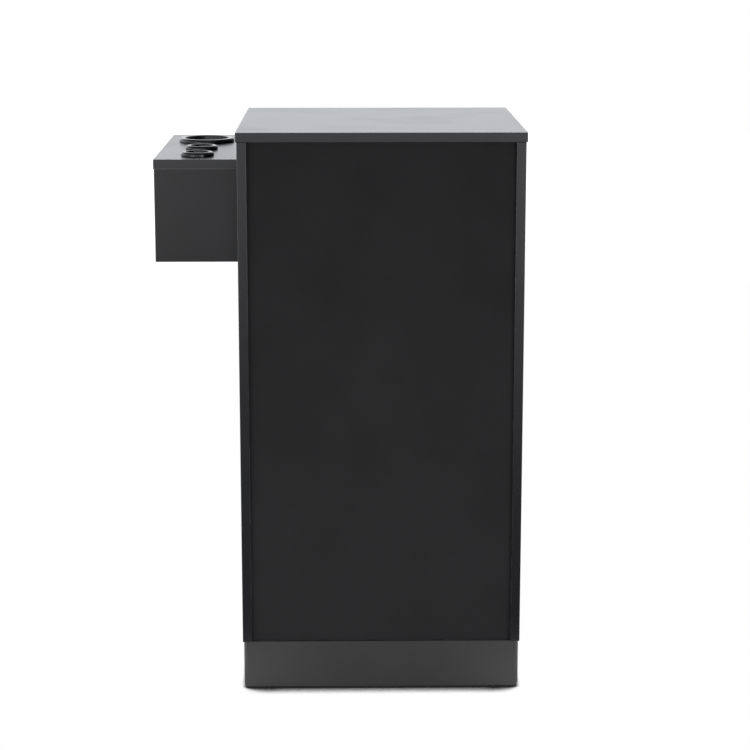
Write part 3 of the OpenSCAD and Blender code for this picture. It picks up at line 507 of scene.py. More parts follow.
def add_bump(tree, shader, height, depth):
    """Relief of a given depth in metres"""
    bump = add_node(tree, "ShaderNodeBump", {"Height": height, "Distance": depth})
    tree.links.new(bump.outputs["Normal"], shader["Normal"])


print("Material helpers are ready")

# %% Board and plastic recipe
TONE_RANGE = (0.3, 0.7)
# Eased corners are painted up to this many times lighter, partly as wear and partly as a painted highlight
WEAR_AND_HIGHLIGHT_LIGHTER = 5.0
WEAR_AND_HIGHLIGHT_SHARE = 0.6
SMUDGE_ROUGHER, SCRATCH_ROUGHER, RUB_SMOOTHER = 0.02, 0.12, -0.06
BAND_FLATTER = -0.75
# Light grey of the painted highlight along the seam of the tool holder
PAINTED_SEAM_HIGHLIGHT_GREY = grey(0.13)


def skin(name, dark, light, rough, band_rough, shine, per_metre, depth, stretch=(1.0, 1.0, 1.0)):
    """A board skin or a moulded plastic. Its grain is given per metre, and its depth in metres"""
    material, tree, shader = new_material(name)
    grain = use_group(tree, GRAIN, stretch=stretch, per_metre=per_metre)
    marks = use_group(tree, HANDLING)
    wear_and_highlight = use_group(tree, EDGE_WEAR_AND_HIGHLIGHT)["Wear and highlight"]
    band = add_node(tree, "ShaderNodeAttribute", attribute_name="band").outputs["Fac"]
    scraped = add_node(tree, "ShaderNodeAttribute", attribute_name="scraped").outputs["Fac"]
    tone = mix_colours(tree, ramp(tree, grain["Tone"], *TONE_RANGE), dark, light)
    # Eased corners are painted lighter, partly as wear and partly as a painted highlight
    wear_and_highlight_colour = tuple(WEAR_AND_HIGHLIGHT_LIGHTER * c for c in light[:3]) + (1.0,)
    used = mix_colours(tree, maths(tree, "MULTIPLY", wear_and_highlight, WEAR_AND_HIGHLIGHT_SHARE), tone, wear_and_highlight_colour)
    # The painted highlight along the seam of the tool holder
    feed(tree, shader["Base Color"], mix_colours(tree, scraped, used, PAINTED_SEAM_HIGHLIGHT_GREY))
    sheen = maths(tree, "MULTIPLY_ADD", band, band_rough - rough, rough)
    wiped = maths(tree, "MULTIPLY_ADD", marks["Smudge"], SMUDGE_ROUGHER, sheen)
    scuffed = maths(tree, "MULTIPLY_ADD", marks["Scratch"], SCRATCH_ROUGHER, wiped)
    feed(tree, shader["Roughness"], maths(tree, "MULTIPLY_ADD", wear_and_highlight, RUB_SMOOTHER, scuffed))
    shader["Specular IOR Level"].default_value = shine
    flatter = maths(tree, "MULTIPLY_ADD", band, BAND_FLATTER, 1.0)
    add_bump(tree, shader, maths(tree, "MULTIPLY", grain["Height"], flatter), depth)
    return material


# The corners are painted lighter, partly as wear and partly as a painted highlight
print("Rubbed corners are up to", WEAR_AND_HIGHLIGHT_LIGHTER, "times as light as the skin")

# %% Skins
MICRON = 1e-6
FINISH = {
    "black_laminate": skin(
        "black_laminate", grey(0.0080, 1.2), grey(0.0105, 1.2), rough=0.24, band_rough=0.23, shine=0.65,
        per_metre=1100, depth=8 * MICRON),
    "grey_laminate": skin(
        "grey_laminate", grey(0.0335, 1.03), grey(0.038, 1.03), rough=0.34, band_rough=0.30, shine=0.7,
        per_metre=900, depth=8 * MICRON),
    "black_hardboard": skin(
        "black_hardboard", grey(0.0192, 1.05), grey(0.0228, 1.05), rough=0.65, band_rough=0.75, shine=0.02,
        per_metre=600, depth=40 * MICRON, stretch=(0.25, 1.0, 1.0)),
    "drawer_board": skin(
        "drawer_board", grey(0.026), grey(0.036), rough=0.5, band_rough=0.45, shine=0.4,
        per_metre=900, depth=20 * MICRON, stretch=(1.0, 0.2, 1.0)),
    "gloss_black": skin(
        "gloss_black", grey(0.003), grey(0.005), rough=0.14, band_rough=0.14, shine=0.8,
        per_metre=1500, depth=2 * MICRON),
    "black_nylon": skin(
        "black_nylon", grey(0.009), grey(0.014), rough=0.55, band_rough=0.55, shine=0.4,
        per_metre=2500, depth=20 * MICRON),
}
# The same black laminate, duller, with a darker base colour that is painted shade
holder_laminate_with_painted_shade = skin(
    "holder_laminate_with_painted_shade", grey(0.0060, 1.2), grey(0.0085, 1.2), rough=0.30, band_rough=0.26, shine=0.48,
    per_metre=900, depth=15 * MICRON)
print("Skins:", sorted(FINISH))

# %% [markdown]
# Metal
#
# Zinc plate is dull, with faint crystals and wiped streaks. The handles are satin aluminium, brushed along
# their length, and the lock is satin chrome. Anisotropic shading could give the brushed look, but it needs
# a tangent on every piece. Here it is a noise drawn out along one axis, which changes the roughness and
# gives a very shallow bump.

# %% Metal recipe
GRAIN_TO_TONES = 0.3
METAL_SMUDGES_PER_METRE = 30.0
GRAIN_ROUGHER, METAL_SMUDGE_ROUGHER = 0.10, 0.08


def metal(name, dark, light, rough, stretch, per_metre, depth):
    """Bare or plated metal, with its grain drawn out by stretch"""
    material, tree, shader = new_material(name)
    grain = use_group(tree, GRAIN, stretch=stretch, per_metre=per_metre)
    marks = use_group(tree, HANDLING, smudges_per_metre=METAL_SMUDGES_PER_METRE)
    drawn = scaled(tree, object_spot(tree), stretch)
    tone = ramp(tree, noise(tree, drawn, GRAIN_TO_TONES * per_metre), *TONE_RANGE)
    feed(tree, shader["Base Color"], mix_colours(tree, tone, dark, light))
    brushed = maths(tree, "MULTIPLY_ADD", grain["Height"], GRAIN_ROUGHER, rough)
    wiped = maths(tree, "MULTIPLY_ADD", marks["Smudge"], METAL_SMUDGE_ROUGHER, brushed)
    feed(tree, shader["Roughness"], wiped)
    shader["Metallic"].default_value = 1.0
    add_bump(tree, shader, grain["Height"], depth)
    return material


print("Metal has", METAL_SMUDGES_PER_METRE, "smudges a metre")

# %% Metals
ZINC_DARK, ZINC_LIGHT = (0.42, 0.43, 0.45, 1.0), (0.56, 0.57, 0.58, 1.0)
CHROME_DARK, CHROME_LIGHT = (0.50, 0.50, 0.51, 1.0), (0.60, 0.60, 0.61, 1.0)
ALUMINIUM_DARK, ALUMINIUM_LIGHT = (0.60, 0.60, 0.61, 1.0), (0.72, 0.72, 0.73, 1.0)
ALONG_X, ALONG_Z, EVEN = (0.02, 1.0, 1.0), (1.0, 1.0, 0.02), (1.0, 1.0, 1.0)


def brushed_aluminium(name, stretch):
    """Satin aluminium, brushed along the axis that stretch draws out"""
    return metal(
        name, ALUMINIUM_DARK, ALUMINIUM_LIGHT, rough=0.27, stretch=stretch, per_metre=2200, depth=6 * MICRON)


FINISH["zinc_steel"] = metal(
    "zinc_steel", ZINC_DARK, ZINC_LIGHT, rough=0.36, stretch=EVEN, per_metre=500, depth=10 * MICRON)
FINISH["satin_chrome"] = metal(
    "satin_chrome", CHROME_DARK, CHROME_LIGHT, rough=0.20, stretch=EVEN, per_metre=900, depth=4 * MICRON)
FINISH["satin_aluminium"] = brushed_aluminium("satin_aluminium", ALONG_X)
upright_aluminium = brushed_aluminium("upright_aluminium", ALONG_Z)
print("Metals:", [name for name in FINISH if "steel" in name or "satin" in name])

# %% [markdown]
# Boards with eased edges
#
# A sawn and banded board never has a knife edge: its corners are eased by about a millimetre, and that is
# what draws the thin light lines in the photograph. A CAD node is loose triangles, so each board is a
# merged copy. A Bevel modifier could round its long sharp edges, but the bevel of bmesh also hands back the
# faces that it makes, so that they can be marked as eased. The faces that aren't the board's flat sides are
# marked as band. The copy then stands for the node.

# %% Merged copies with eased corners
MM = 0.001
SAME_POINT = 1e-6
FLAT_ANGLE = math.radians(0.5)
CORNER_ANGLE = math.radians(25)
SHORTEST_EASED_EDGE = 8.0 * MM
ROUND_PROFILE = 0.5


def merged_copy(node):
    """The node's mesh in a bmesh, with shared corners and whole flat faces"""
    bm = bmesh.new()
    bm.from_mesh(frame["nodes"][node].data)
    bmesh.ops.remove_doubles(bm, verts=bm.verts, dist=SAME_POINT)
    bmesh.ops.dissolve_limit(bm, angle_limit=FLAT_ANGLE, verts=bm.verts, edges=bm.edges)
    return bm


def is_corner(edge):
    """True for a long outer edge that is sharp enough to be eased"""
    if len(edge.link_faces) != 2 or edge.calc_length() < SHORTEST_EASED_EDGE:
        return False
    return edge.is_convex and edge.calc_face_angle() > CORNER_ANGLE


def ease_corners(bm, radius, segments):
    """Rounds the long sharp edges and marks the new faces"""
    eased = bm.faces.layers.float.new("eased")
    corners = [edge for edge in bm.edges if is_corner(edge)]
    if radius and corners:
        made = bmesh.ops.bevel(
            bm, geom=corners, offset=radius, segments=segments, profile=ROUND_PROFILE,
            affect="EDGES", clamp_overlap=True)
        for face in made["faces"]:
            face[eased] = 1.0


print("Edges from", SHORTEST_EASED_EDGE, "metres up are eased")

# %% Finished pieces
record = frame["record"]
BODY_OF = {node: body for body, nodes in record["behaviour"]["bodies"].items() for node in nodes}
SLOT_OF = {part["node"]: part["material_slot"] for part in record["subparts"]}
SHARP_ANGLE = math.radians(35)
FLAT_SIDE = 0.5
PLAIN_STEPS, FINE_STEPS = 2, 3


def finish_piece(bm, name, body, slot, material, nodes=()):
    """Turns a bmesh into a piece on its body, with flat faces flat and round ones smooth"""
    mesh = bpy.data.meshes.new(name)
    bm.to_mesh(mesh)
    bm.free()
    mesh.materials.append(material)
    mesh.shade_smooth()
    mesh.set_sharp_from_angle(angle=SHARP_ANGLE)
    piece = bpy.data.objects.new(name, mesh)
    scene.collection.objects.link(piece)
    flat = piece.modifiers.new("flat faces", "WEIGHTED_NORMAL")
    flat.keep_sharp = True
    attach(piece, body)
    if nodes:
        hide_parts(*nodes)
    return piece


def dress(node, radius=0.0, segments=PLAIN_STEPS, thin=None, material=None):
    """Replaces a node by its merged copy, eased, in the finish of its slot. Thin is a board's flat axis"""
    bm = merged_copy(node)
    ease_corners(bm, radius, segments)
    if thin is not None:
        band = bm.faces.layers.float.new("band")
        for face in bm.faces:
            face[band] = float(abs(face.normal[thin]) < FLAT_SIDE)
    slot = SLOT_OF[node]
    return finish_piece(bm, node + "_finished", BODY_OF[node], slot, material or FINISH[slot], (node,))


print("Copies ride on", sorted(set(BODY_OF.values())))

# %% Boards
DRAWERS = ("drawer_1", "drawer_2", "drawer_3")
X, Y, Z = 0, 1, 2
BOARD_EASE = 0.8 * MM
SHEET_EASE = 0.4 * MM
BOARDS = {
    X: ["left_side_panel", "right_side_panel", "plinth_end_boards"],
    Y: ["door_panel", "plinth_rear_board", "plinth_front_board"] + [drawer + "_front" for drawer in DRAWERS],
    Z: ["top_panel", "bottom_panel", "divider_panel", "top_rails", "adjustable_shelf", "holder_top",
        "holder_floor"],
}
HOLDER_BOARDS = {
    X: ["holder_outer_board", "holder_inner_board"],
    Y: ["holder_rear_board", "holder_front_board"],
}
BOX_BOARDS = {X: "_sides", Y: "_back"}
for thin, nodes in BOARDS.items():
    for node in nodes:
        dress(node, BOARD_EASE, FINE_STEPS, thin)
for thin, ending in BOX_BOARDS.items():
    for drawer in DRAWERS:
        dress(drawer + ending, BOARD_EASE, thin=thin)
for thin, nodes in HOLDER_BOARDS.items():
    for node in nodes:
        dress(node, BOARD_EASE, FINE_STEPS, thin, holder_laminate_with_painted_shade)
dress("back_panel", SHEET_EASE, thin=Y)
for drawer in DRAWERS:
    dress(drawer + "_bottom", SHEET_EASE, thin=Z)

# %% [markdown]
# A painted highlight at a seam
#
# Under the top board of the tool holder runs a thin pale line, where the eased corners catch the light: it
# is a painted highlight. A strip of its own would stand out from the boards, so the eased faces of the two
# corners that meet there are marked instead, and the laminate mixes in a lighter grey. On the lower board
# the painted highlight is fainter.

# %% Seam of the tool holder
REARWARD = 0.1
holder_low, holder_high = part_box("holder_top")


def paint_seam_highlight(name, height, share):
    """Paints a highlight on a board's long rear corner at a height, as strong as share"""
    mesh = bpy.data.objects[name].data
    pale = mesh.attributes.new("scraped", "FLOAT", "FACE")
    eased = mesh.attributes["eased"]
    for face in mesh.polygons:
        near = abs(face.center.z - height) < BOARD_EASE and face.normal.y > REARWARD
        pale.data[face.index].value = share * near * eased.data[face.index].value
    print(name, "has", sum(mark.value > 0 for mark in pale.data), "scraped faces")


# The seam's painted highlight, fainter on the lower board
paint_seam_highlight("holder_top_finished", holder_low.z, share=1.0)
paint_seam_highlight("holder_rear_board_finished", holder_low.z, share=0.25)

# %% [markdown]
# Metal and nylon fittings
#
# Slides, hinges, handles, the lock and the glides are right as they are in the model, and modelling them
# again could only spoil their fit. They need shared corners, so that round bars shade smoothly, and a hair
# of rounding on pressed edges, which is what makes metal glint.

# %% Fittings
PRESSED_EASE = 0.25 * MM
MOULDED_EASE = 0.4 * MM
PRESSED = ["hinge_plates", "hinge_arms", "hinge_cups", "catch_keeper", "lock_strike", "lock_cam",
           "lock_nut"]
UNEASED = ["cabinet_rails", "shelf_pins", "holder_bolts", "fitting_cams", "fitting_bolts", "hinge_pins",
           "lock_barrel", "lock_plug", "floor_glides"]
UNEASED += [drawer + ending for drawer in DRAWERS for ending in ("_rails", "_middle_rails", "_handle")]
for node in PRESSED:
    dress(node, PRESSED_EASE)
for node in UNEASED:
    dress(node)
dress("magnetic_catch", MOULDED_EASE, FINE_STEPS)
dress("door_handle", material=upright_aluminium)
print("Fittings:", len(PRESSED), "pressed,", len(UNEASED), "uneased, the catch and the door's handle")

# %% [markdown]
# Moulded tool rings
#
# Three glossy plastic rings stand on the holder: a rim with a rounded top, and a sleeve through the board.
# A torus would lack the flat seat and the flared mouth. A ring is its cross-section turned about an axis,
# so it follows a rule, and a Geometry Nodes tree can hold that rule. The corners of the section come from
# the sizes of the ring, Fillet Curve rounds each by its own radius, and Curve to Mesh sweeps the section
# round a circle. The sweep turns the section's second axis downwards, so depths below the board are
# positive. Points give the places of the rings.

# %% Tree helpers
def new_tree(name, inputs):
    """A Geometry Nodes tree with named inputs, its inner sockets and its result socket"""
    tree = bpy.data.node_groups.new(name, "GeometryNodeTree")
    tree.interface.new_socket("Geometry", in_out="INPUT", socket_type="NodeSocketGeometry")
    for label, kind in inputs.items():
        tree.interface.new_socket(label, in_out="INPUT", socket_type="NodeSocket" + kind)
    tree.interface.new_socket("Geometry", in_out="OUTPUT", socket_type="NodeSocketGeometry")
    return tree, tree.nodes.new("NodeGroupInput").outputs, tree.nodes.new("NodeGroupOutput").inputs[0]


def pick_by_index(tree, kind, choices):
    """The choice with the number of the point"""
    node = add_node(tree, "GeometryNodeIndexSwitch", data_type=kind)
    while len(node.index_switch_items) < len(choices):
        node.index_switch_items.new()
    feed(tree, node.inputs[0], add_node(tree, "GeometryNodeInputIndex").outputs[0])
    for socket, choice in zip(list(node.inputs)[1:], choices):
        feed(tree, socket, choice)
    return node.outputs[0]


def grow(name, tree, points, values, facing=None):
    """Runs a tree on loose points and gives the result as a bmesh"""
    mesh = bpy.data.meshes.new(name + "_points")
    mesh.from_pydata([tuple(point) for point in points], [], [])
    if facing:
        ways = mesh.attributes.new("facing", "FLOAT_VECTOR", "POINT")
        ways.data.foreach_set("vector", [c for way in facing for c in way])
    carrier = bpy.data.objects.new(name + "_points", mesh)
    scene.collection.objects.link(carrier)
    grown = carrier.modifiers.new("grow", "NODES")
    grown.node_group = tree
    for item in tree.interface.items_tree:
        if item.in_out == "INPUT" and item.name in values:
            grown[item.identifier] = values[item.name]
    graph = bpy.context.evaluated_depsgraph_get()
    made = bpy.data.meshes.new_from_object(carrier.evaluated_get(graph), depsgraph=graph)
    bm = bmesh.new()
    bm.from_mesh(made)
    bmesh.ops.recalc_face_normals(bm, faces=bm.faces)
    carrier.modifiers.clear()
    bpy.data.objects.remove(carrier)
    return bm


print("Tree helpers are ready")

# %% Ring tree
RING_STEPS = 128
FILLET_STEPS = 8
FINE_ROUND = 0.4 * MM
THROAT_ROUND = 4.0 * MM


def corner(tree, out, down):
    """A corner of the ring's section, measured from the hole's wall and from the board"""
    return add_node(tree, "ShaderNodeCombineXYZ", {"X": out, "Y": down}).outputs[0]


def ring_tree():
    """A section with seven rounded corners, turned about an axis, at each point"""
    sizes = ("Hole radius", "Rim radius", "Rim height", "Sleeve wall", "Sleeve length", "Edge round",
             "Lip round", "Flare", "Flare depth")
    tree, given, result = new_tree("moulded_ring", dict.fromkeys(sizes, "Float") | {"Plastic": "Material"})
    rim = maths(tree, "SUBTRACT", given["Rim radius"], given["Hole radius"])
    wall, low = given["Sleeve wall"], given["Sleeve length"]
    top = maths(tree, "MULTIPLY", given["Rim height"], -1.0)
    throat = maths(tree, "ADD", top, given["Flare depth"])
    sleeve = [((0.0, low), FINE_ROUND), ((wall, low), FINE_ROUND), ((wall, 0.0), 0.0)]
    edge = [((rim, 0.0), FINE_ROUND), ((rim, top), given["Edge round"])]
    mouth = [((given["Flare"], top), given["Lip round"]), ((0.0, throat), THROAT_ROUND)]
    corners, rounds = zip(*(sleeve + edge + mouth))
    places = pick_by_index(tree, "VECTOR", [corner(tree, *spot) for spot in corners])
    points = add_node(tree, "GeometryNodePoints", {"Count": len(corners), "Position": places})
    line = add_node(tree, "GeometryNodePointsToCurves", {"Points": points.outputs[0]})
    closed = add_node(tree, "GeometryNodeSetSplineCyclic", {"Geometry": line.outputs[0], "Cyclic": True})
    section = add_node(tree, "GeometryNodeFilletCurve", {"Curve": closed.outputs[0]}, mode="POLY")
    feed(tree, section.inputs["Count"], FILLET_STEPS)
    feed(tree, section.inputs["Radius"], pick_by_index(tree, "FLOAT", rounds))
    circle = {"Resolution": RING_STEPS, "Radius": given["Hole radius"]}
    path = add_node(tree, "GeometryNodeCurvePrimitiveCircle", circle)
    swept = {"Curve": path.outputs[0], "Profile Curve": section.outputs[0]}
    ring = add_node(tree, "GeometryNodeCurveToMesh", swept)
    placed = {"Points": given["Geometry"], "Instance": ring.outputs[0]}
    rings = add_node(tree, "GeometryNodeInstanceOnPoints", placed)
    solid = add_node(tree, "GeometryNodeRealizeInstances", {"Geometry": rings.outputs[0]})
    painted = {"Geometry": solid.outputs[0], "Material": given["Plastic"]}
    tree.links.new(add_node(tree, "GeometryNodeSetMaterial", painted).outputs[0], result)
    return tree


RING_TREE = ring_tree()
print("Ring tree:", len(RING_TREE.nodes), "nodes")

# %% Rings
BORES = {mount["name"]: mount for mount in record["mounts"] if mount["kind"] == "bore"}


def add_rings(node, bores):
    """The rings of one node, from its box and from the bores that tools go through"""
    low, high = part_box(node)
    values = {
        "Hole radius": BORES[bores[0]]["dims"]["r_mm"] * MM,
        "Rim radius": (high.x - low.x) / 2,
        "Rim height": high.z - holder_high.z,
        "Sleeve wall": 2.5 * MM,
        "Sleeve length": holder_high.z - low.z,
        "Edge round": 4.2 * MM,
        "Lip round": 2.0 * MM,
        "Flare": 0.8 * MM,
        "Flare depth": 8.0 * MM,
        "Plastic": FINISH[SLOT_OF[node]],
    }
    spots = [Vector(BORES[bore]["pos_m"][:2] + [holder_high.z]) for bore in bores]
    bm = grow(node, RING_TREE, spots, values)
    name, slot = node + "_moulded", SLOT_OF[node]
    piece = finish_piece(bm, name, BODY_OF[node], slot, FINISH[slot], (node,))
    highest = max(vertex.co.z for vertex in piece.data.vertices)
    print(node, "has", len(piece.data.polygons), "faces, up to", round(highest, 4))


add_rings("dryer_ring", ["dryer_ring_bore"])
add_rings("iron_rings", ["rear_iron_ring_bore", "front_iron_ring_bore"])

# %% [markdown]
# Cross-head screws
#
# Every hinge, slide and handle is screwed on, and those heads show as soon as a drawer or the door is open.
# They could be modelled and copied one by one, but they are one rule at many places. A head is a short
# cylinder cut by a large ball, which gives the domed face, less two crossed bars for the driver. Booleans
# make that one head, once, and it is put on points that carry the way they face. A random spin about its
# own axis keeps the crosses from standing in line.

# %% Screw head
SCREW_STEPS = 24


def crossed_bars(tree, length, width, depth, top):
    """Two bars that cross at right angles, centred on the head's face"""
    bars = []
    for sizes in ((length, width, depth), (width, length, depth)):
        size = add_node(tree, "ShaderNodeCombineXYZ", dict(zip("XYZ", sizes))).outputs[0]
        bar = add_node(tree, "GeometryNodeMeshCube", {"Size": size}).outputs["Mesh"]
        up = add_node(tree, "ShaderNodeCombineXYZ", {"Z": top}).outputs[0]
        raised = add_node(tree, "GeometryNodeTransform", {"Geometry": bar, "Translation": up})
        bars.append(raised.outputs[0])
    return bars


def screw_head(tree, given):
    """Cylinder cut by a ball whose cap is Dome high, less the crossed bars"""
    radius, height, dome = given["Head radius"], given["Head height"], given["Dome"]
    half = maths(tree, "MULTIPLY", height, 0.5)
    disc_sizes = {"Vertices": SCREW_STEPS, "Radius": radius, "Depth": height}
    disc = add_node(tree, "GeometryNodeMeshCylinder", disc_sizes, fill_type="NGON").outputs["Mesh"]
    up = add_node(tree, "ShaderNodeCombineXYZ", {"Z": half}).outputs[0]
    disc = add_node(tree, "GeometryNodeTransform", {"Geometry": disc, "Translation": up}).outputs[0]
    squares = maths(tree, "ADD", maths(tree, "POWER", radius, 2.0), maths(tree, "POWER", dome, 2.0))
    bulge = maths(tree, "DIVIDE", squares, maths(tree, "MULTIPLY", dome, 2.0))
    ball_sizes = {"Segments": 2 * SCREW_STEPS, "Rings": 2 * SCREW_STEPS, "Radius": bulge}
    ball = add_node(tree, "GeometryNodeMeshUVSphere", ball_sizes).outputs["Mesh"]
    down = add_node(tree, "ShaderNodeCombineXYZ", {"Z": maths(tree, "SUBTRACT", height, bulge)}).outputs[0]
    ball = add_node(tree, "GeometryNodeTransform", {"Geometry": ball, "Translation": down}).outputs[0]
    head = add_node(tree, "GeometryNodeMeshBoolean", operation="INTERSECT", solver="EXACT")
    for shape in (disc, ball):
        tree.links.new(shape, head.inputs["Mesh 2"])
    cross = add_node(tree, "GeometryNodeMeshBoolean", operation="DIFFERENCE", solver="EXACT")
    tree.links.new(head.outputs["Mesh"], cross.inputs["Mesh 1"])
    depth = maths(tree, "MULTIPLY", given["Recess depth"], 2.0)
    for bar in crossed_bars(tree, given["Recess length"], given["Recess width"], depth, height):
        tree.links.new(bar, cross.inputs["Mesh 2"])
    return cross.outputs["Mesh"]


print("A head has", SCREW_STEPS, "sides")

# %% Screw tree
# Random Value has sockets for every kind of data. These are the places of the ones for numbers
SPIN_LEAST, SPIN_MOST, SPIN_RESULT = 2, 3, 1


def screw_tree():
    """A head at each point, turned the way that the point faces and spun at random"""
    sizes = ("Head radius", "Head height", "Dome", "Recess length", "Recess width", "Recess depth")
    inputs = dict.fromkeys(sizes, "Float") | {"Seed": "Int", "Metal": "Material"}
    tree, given, result = new_tree("cross_screws", inputs)
    facing = add_node(tree, "GeometryNodeInputNamedAttribute", {"Name": "facing"}, data_type="FLOAT_VECTOR")
    upright = add_node(tree, "FunctionNodeAlignRotationToVector", {"Vector": facing.outputs[0]}, axis="Z")
    spread = {SPIN_LEAST: 0.0, SPIN_MOST: math.pi, "Seed": given["Seed"]}
    spin = add_node(tree, "FunctionNodeRandomValue", spread, data_type="FLOAT").outputs[SPIN_RESULT]
    turn = add_node(tree, "ShaderNodeCombineXYZ", {"Z": spin})
    about = add_node(tree, "FunctionNodeEulerToRotation", {"Euler": turn.outputs[0]})
    turns = {"Rotation": upright.outputs[0], "Rotate By": about.outputs[0]}
    spun = add_node(tree, "FunctionNodeRotateRotation", turns, rotation_space="LOCAL")
    placed = {"Points": given["Geometry"], "Instance": screw_head(tree, given), "Rotation": spun.outputs[0]}
    screws = add_node(tree, "GeometryNodeInstanceOnPoints", placed)
    solid = add_node(tree, "GeometryNodeRealizeInstances", {"Geometry": screws.outputs[0]})
    painted = {"Geometry": solid.outputs[0], "Material": given["Metal"]}
    tree.links.new(add_node(tree, "GeometryNodeSetMaterial", painted).outputs[0], result)
    return tree


SCREW_TREE = screw_tree()
print("Screw tree:", len(SCREW_TREE.nodes), "nodes")

# %% [markdown]
# Where the screws go
#
# The places could be written down as numbers. But the model already has a hole for most screws, so they are
# read from it and follow it when a size changes. The wall of a round hole is a run of linked faces that all
# lie along the hole's axis, as wide as it is high, and facing its own middle. A node's separate solids are
# found in the same way, as runs of all its faces: handles are screwed on behind their posts, and each cam
# shows a crossed face.

# %% Runs of linked faces
def linked_runs(faces):
    """Groups of faces that are joined by their edges"""
    left = set(faces)
    while left:
        run, border = [], [left.pop()]
        while border:
            face = border.pop()
            run.append(face)
            joined = {other for edge in face.edges for other in edge.link_faces} & left
            left -= joined
            border.extend(joined)
        yield run


def box_of(run):
    """Lowest and highest corner of some faces"""
    columns = list(zip(*(corner.co for face in run for corner in face.verts)))
    return Vector([min(column) for column in columns]), Vector([max(column) for column in columns])


print("Helpers for runs of faces are ready")

# %% Holes and solids
LARGEST_SCREW_HOLE = 6.0 * MM
ROUND_WITHIN = 0.1 * MM
ALONG_WITHIN = 0.01


def is_hole(run, axis):
    """True for the wall of a small round hole along an axis"""
    low, high = box_of(run)
    width, height = [high[i] - low[i] for i in (X, Y, Z) if i != axis]
    inward = (low + high) / 2 - run[0].calc_center_median()
    inward[axis] = 0.0
    is_round = abs(width - height) < ROUND_WITHIN and width < LARGEST_SCREW_HOLE
    return is_round and run[0].normal.dot(inward) > 0


def in_order(boxes):
    """Sorted by place to a tenth of a millimetre, because a set of faces has no order of its own"""
    return sorted(boxes, key=lambda box: [round(c / MM, 1) for c in box[0]])


def holes(node, axis):
    """Boxes of a node's screw holes along an axis"""
    bm = merged_copy(node)
    walls = [face for face in bm.faces if abs(face.normal[axis]) < ALONG_WITHIN]
    boxes = [box_of(run) for run in linked_runs(walls) if is_hole(run, axis)]
    bm.free()
    return in_order(boxes)


def solids(node):
    """Boxes of a node's separate solids"""
    bm = merged_copy(node)
    boxes = [box_of(run) for run in linked_runs(bm.faces)]
    bm.free()
    return in_order(boxes)


print("Cabinet slide members have", len(holes("cabinet_rails", X)), "screw holes")

# %% [markdown]
# The screws themselves
#
# Each head sits on the side of its hole that can be reached. A kind of head is given by its radius, height
# and dome in millimetres, and its recess in shares of the first two. In the cabinet's slide members, in the
# sides of the drawers and on the keeper the heads are nearly flush, because the next piece runs past them
# at less than half a millimetre. The second screw of a hinge arm clamps it on its plate, in line with the
# plate's own screws.

# %% Places of the heads
TO_LEFT, TO_RIGHT = Vector((-1, 0, 0)), Vector((1, 0, 0))
TO_REAR, DOWN = Vector((0, 1, 0)), Vector((0, 0, -1))
SIDE_SCREW_INSET = 15.0 * MM


def heads(boxes, way):
    """Spot and direction for each box: the middle of its side that looks a given way"""
    return [((low + high) / 2 + way * abs((high - low).dot(way)) / 2, way) for low, high in boxes]


def side_heads(boxes, outward):
    """The same on upright sides, looking away from the middle of the cabinet or towards it"""
    right = [box for box in boxes if box[0].x > top_middle.x]
    left = [box for box in boxes if box[0].x < top_middle.x]
    return heads(right, TO_RIGHT if outward else TO_LEFT) + heads(left, TO_LEFT if outward else TO_RIGHT)


def handle_heads(handle, front):
    """Behind a front, in line with the two posts of its handle. The bar is the longest of the solids"""
    posts = sorted(solids(handle), key=lambda box: (box[1] - box[0]).length)[:2]
    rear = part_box(front)[1].y
    middles = [(low + high) / 2 for low, high in posts]
    return [(Vector((middle.x, rear, middle.z)), TO_REAR) for middle in middles]


def side_board_heads(drawer):
    """Through the sides of a drawer into its back"""
    low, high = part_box(drawer + "_sides")
    back_low, back_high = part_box(drawer + "_back")
    middle = (back_low.y + back_high.y) / 2
    heights = (back_low.z + SIDE_SCREW_INSET, back_high.z - SIDE_SCREW_INSET)
    faces = ((high.x, TO_RIGHT), (low.x, TO_LEFT))
    return [(Vector((x, middle, z)), way) for x, way in faces for z in heights]


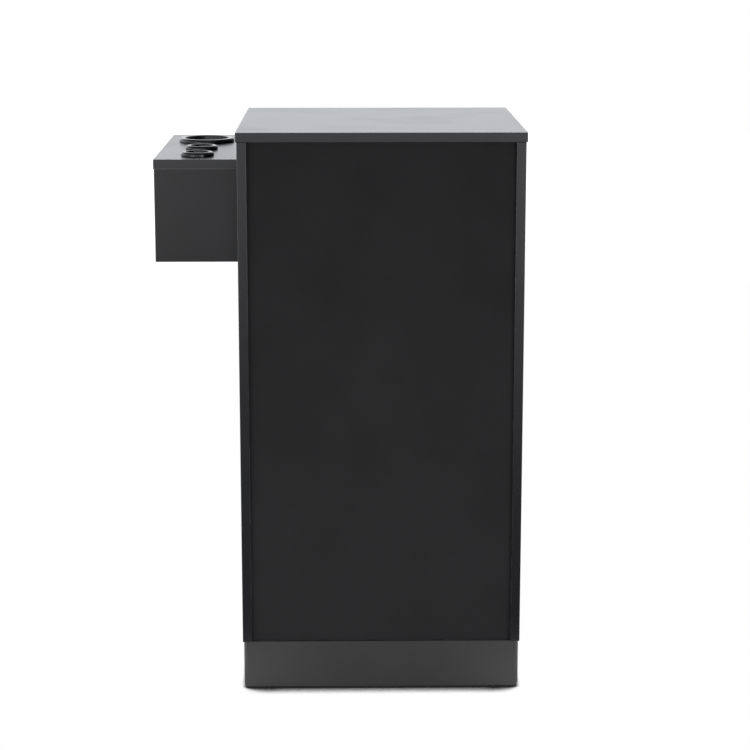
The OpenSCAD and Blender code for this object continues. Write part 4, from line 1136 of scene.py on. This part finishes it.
handle_spots = [spot for spot, way in handle_heads("door_handle", "door_panel")]
print("The door's handle is screwed on at heights of", [round(spot.z, 3) for spot in handle_spots])

# %% Screws
HEADS = {
    "pan": (3.4, 1.7, 0.8),
    "truss": (4.8, 2.0, 1.2),
    "flush": (3.2, 0.22, 0.05),
    "cam": (6.6, 0.22, 0.05),
}
RECESS_LENGTH, RECESS_WIDTH, RECESS_DEPTH = 1.15, 0.26, 0.7


def add_screws(body, kind, places):
    """One piece with all the heads of one kind on a body. The length of its name serves as the seed"""
    name = f"{body}_{kind}_screws"
    radius, height, dome = (size * MM for size in HEADS[kind])
    values = {
        "Head radius": radius,
        "Head height": height,
        "Dome": dome,
        "Recess length": RECESS_LENGTH * radius,
        "Recess width": RECESS_WIDTH * radius,
        "Recess depth": RECESS_DEPTH * height,
        "Seed": len(name),
        "Metal": FINISH["zinc_steel"],
    }
    spots, ways = zip(*places)
    bm = grow(name, SCREW_TREE, spots, values, ways)
    piece = finish_piece(bm, name, body, "zinc_steel", FINISH["zinc_steel"])
    print(name, len(places), "heads,", len(piece.data.polygons), "faces")


for drawer in DRAWERS:
    add_screws(drawer, "truss", handle_heads(drawer + "_handle", drawer + "_front"))
    add_screws(drawer, "pan", side_heads(holes(drawer + "_rails", X), outward=True))
    add_screws(drawer, "flush", side_board_heads(drawer))
add_screws("door", "pan", heads(holes("hinge_cups", Y), TO_REAR))
add_screws("door", "truss", handle_heads("door_handle", "door_panel"))
add_screws("door", "flush", heads(holes("catch_keeper", Y), TO_REAR))

# %% Screws of the cabinet
plate_heads = side_heads(holes("hinge_plates", X), outward=False)
arm_heads = side_heads(holes("hinge_arms", X), outward=False)
clamp_heads = [(Vector((spot.x, plate_heads[0][0].y, spot.z)), way) for spot, way in arm_heads]
lock_heads = side_heads(holes("lock_strike", X), outward=False)
catch_heads = heads(holes("magnetic_catch", Z), DOWN)
add_screws("cabinet", "pan", plate_heads + arm_heads + clamp_heads + lock_heads + catch_heads)
add_screws("cabinet", "flush", side_heads(holes("cabinet_rails", X), outward=False))
add_screws("cabinet", "cam", heads(solids("fitting_cams"), DOWN))
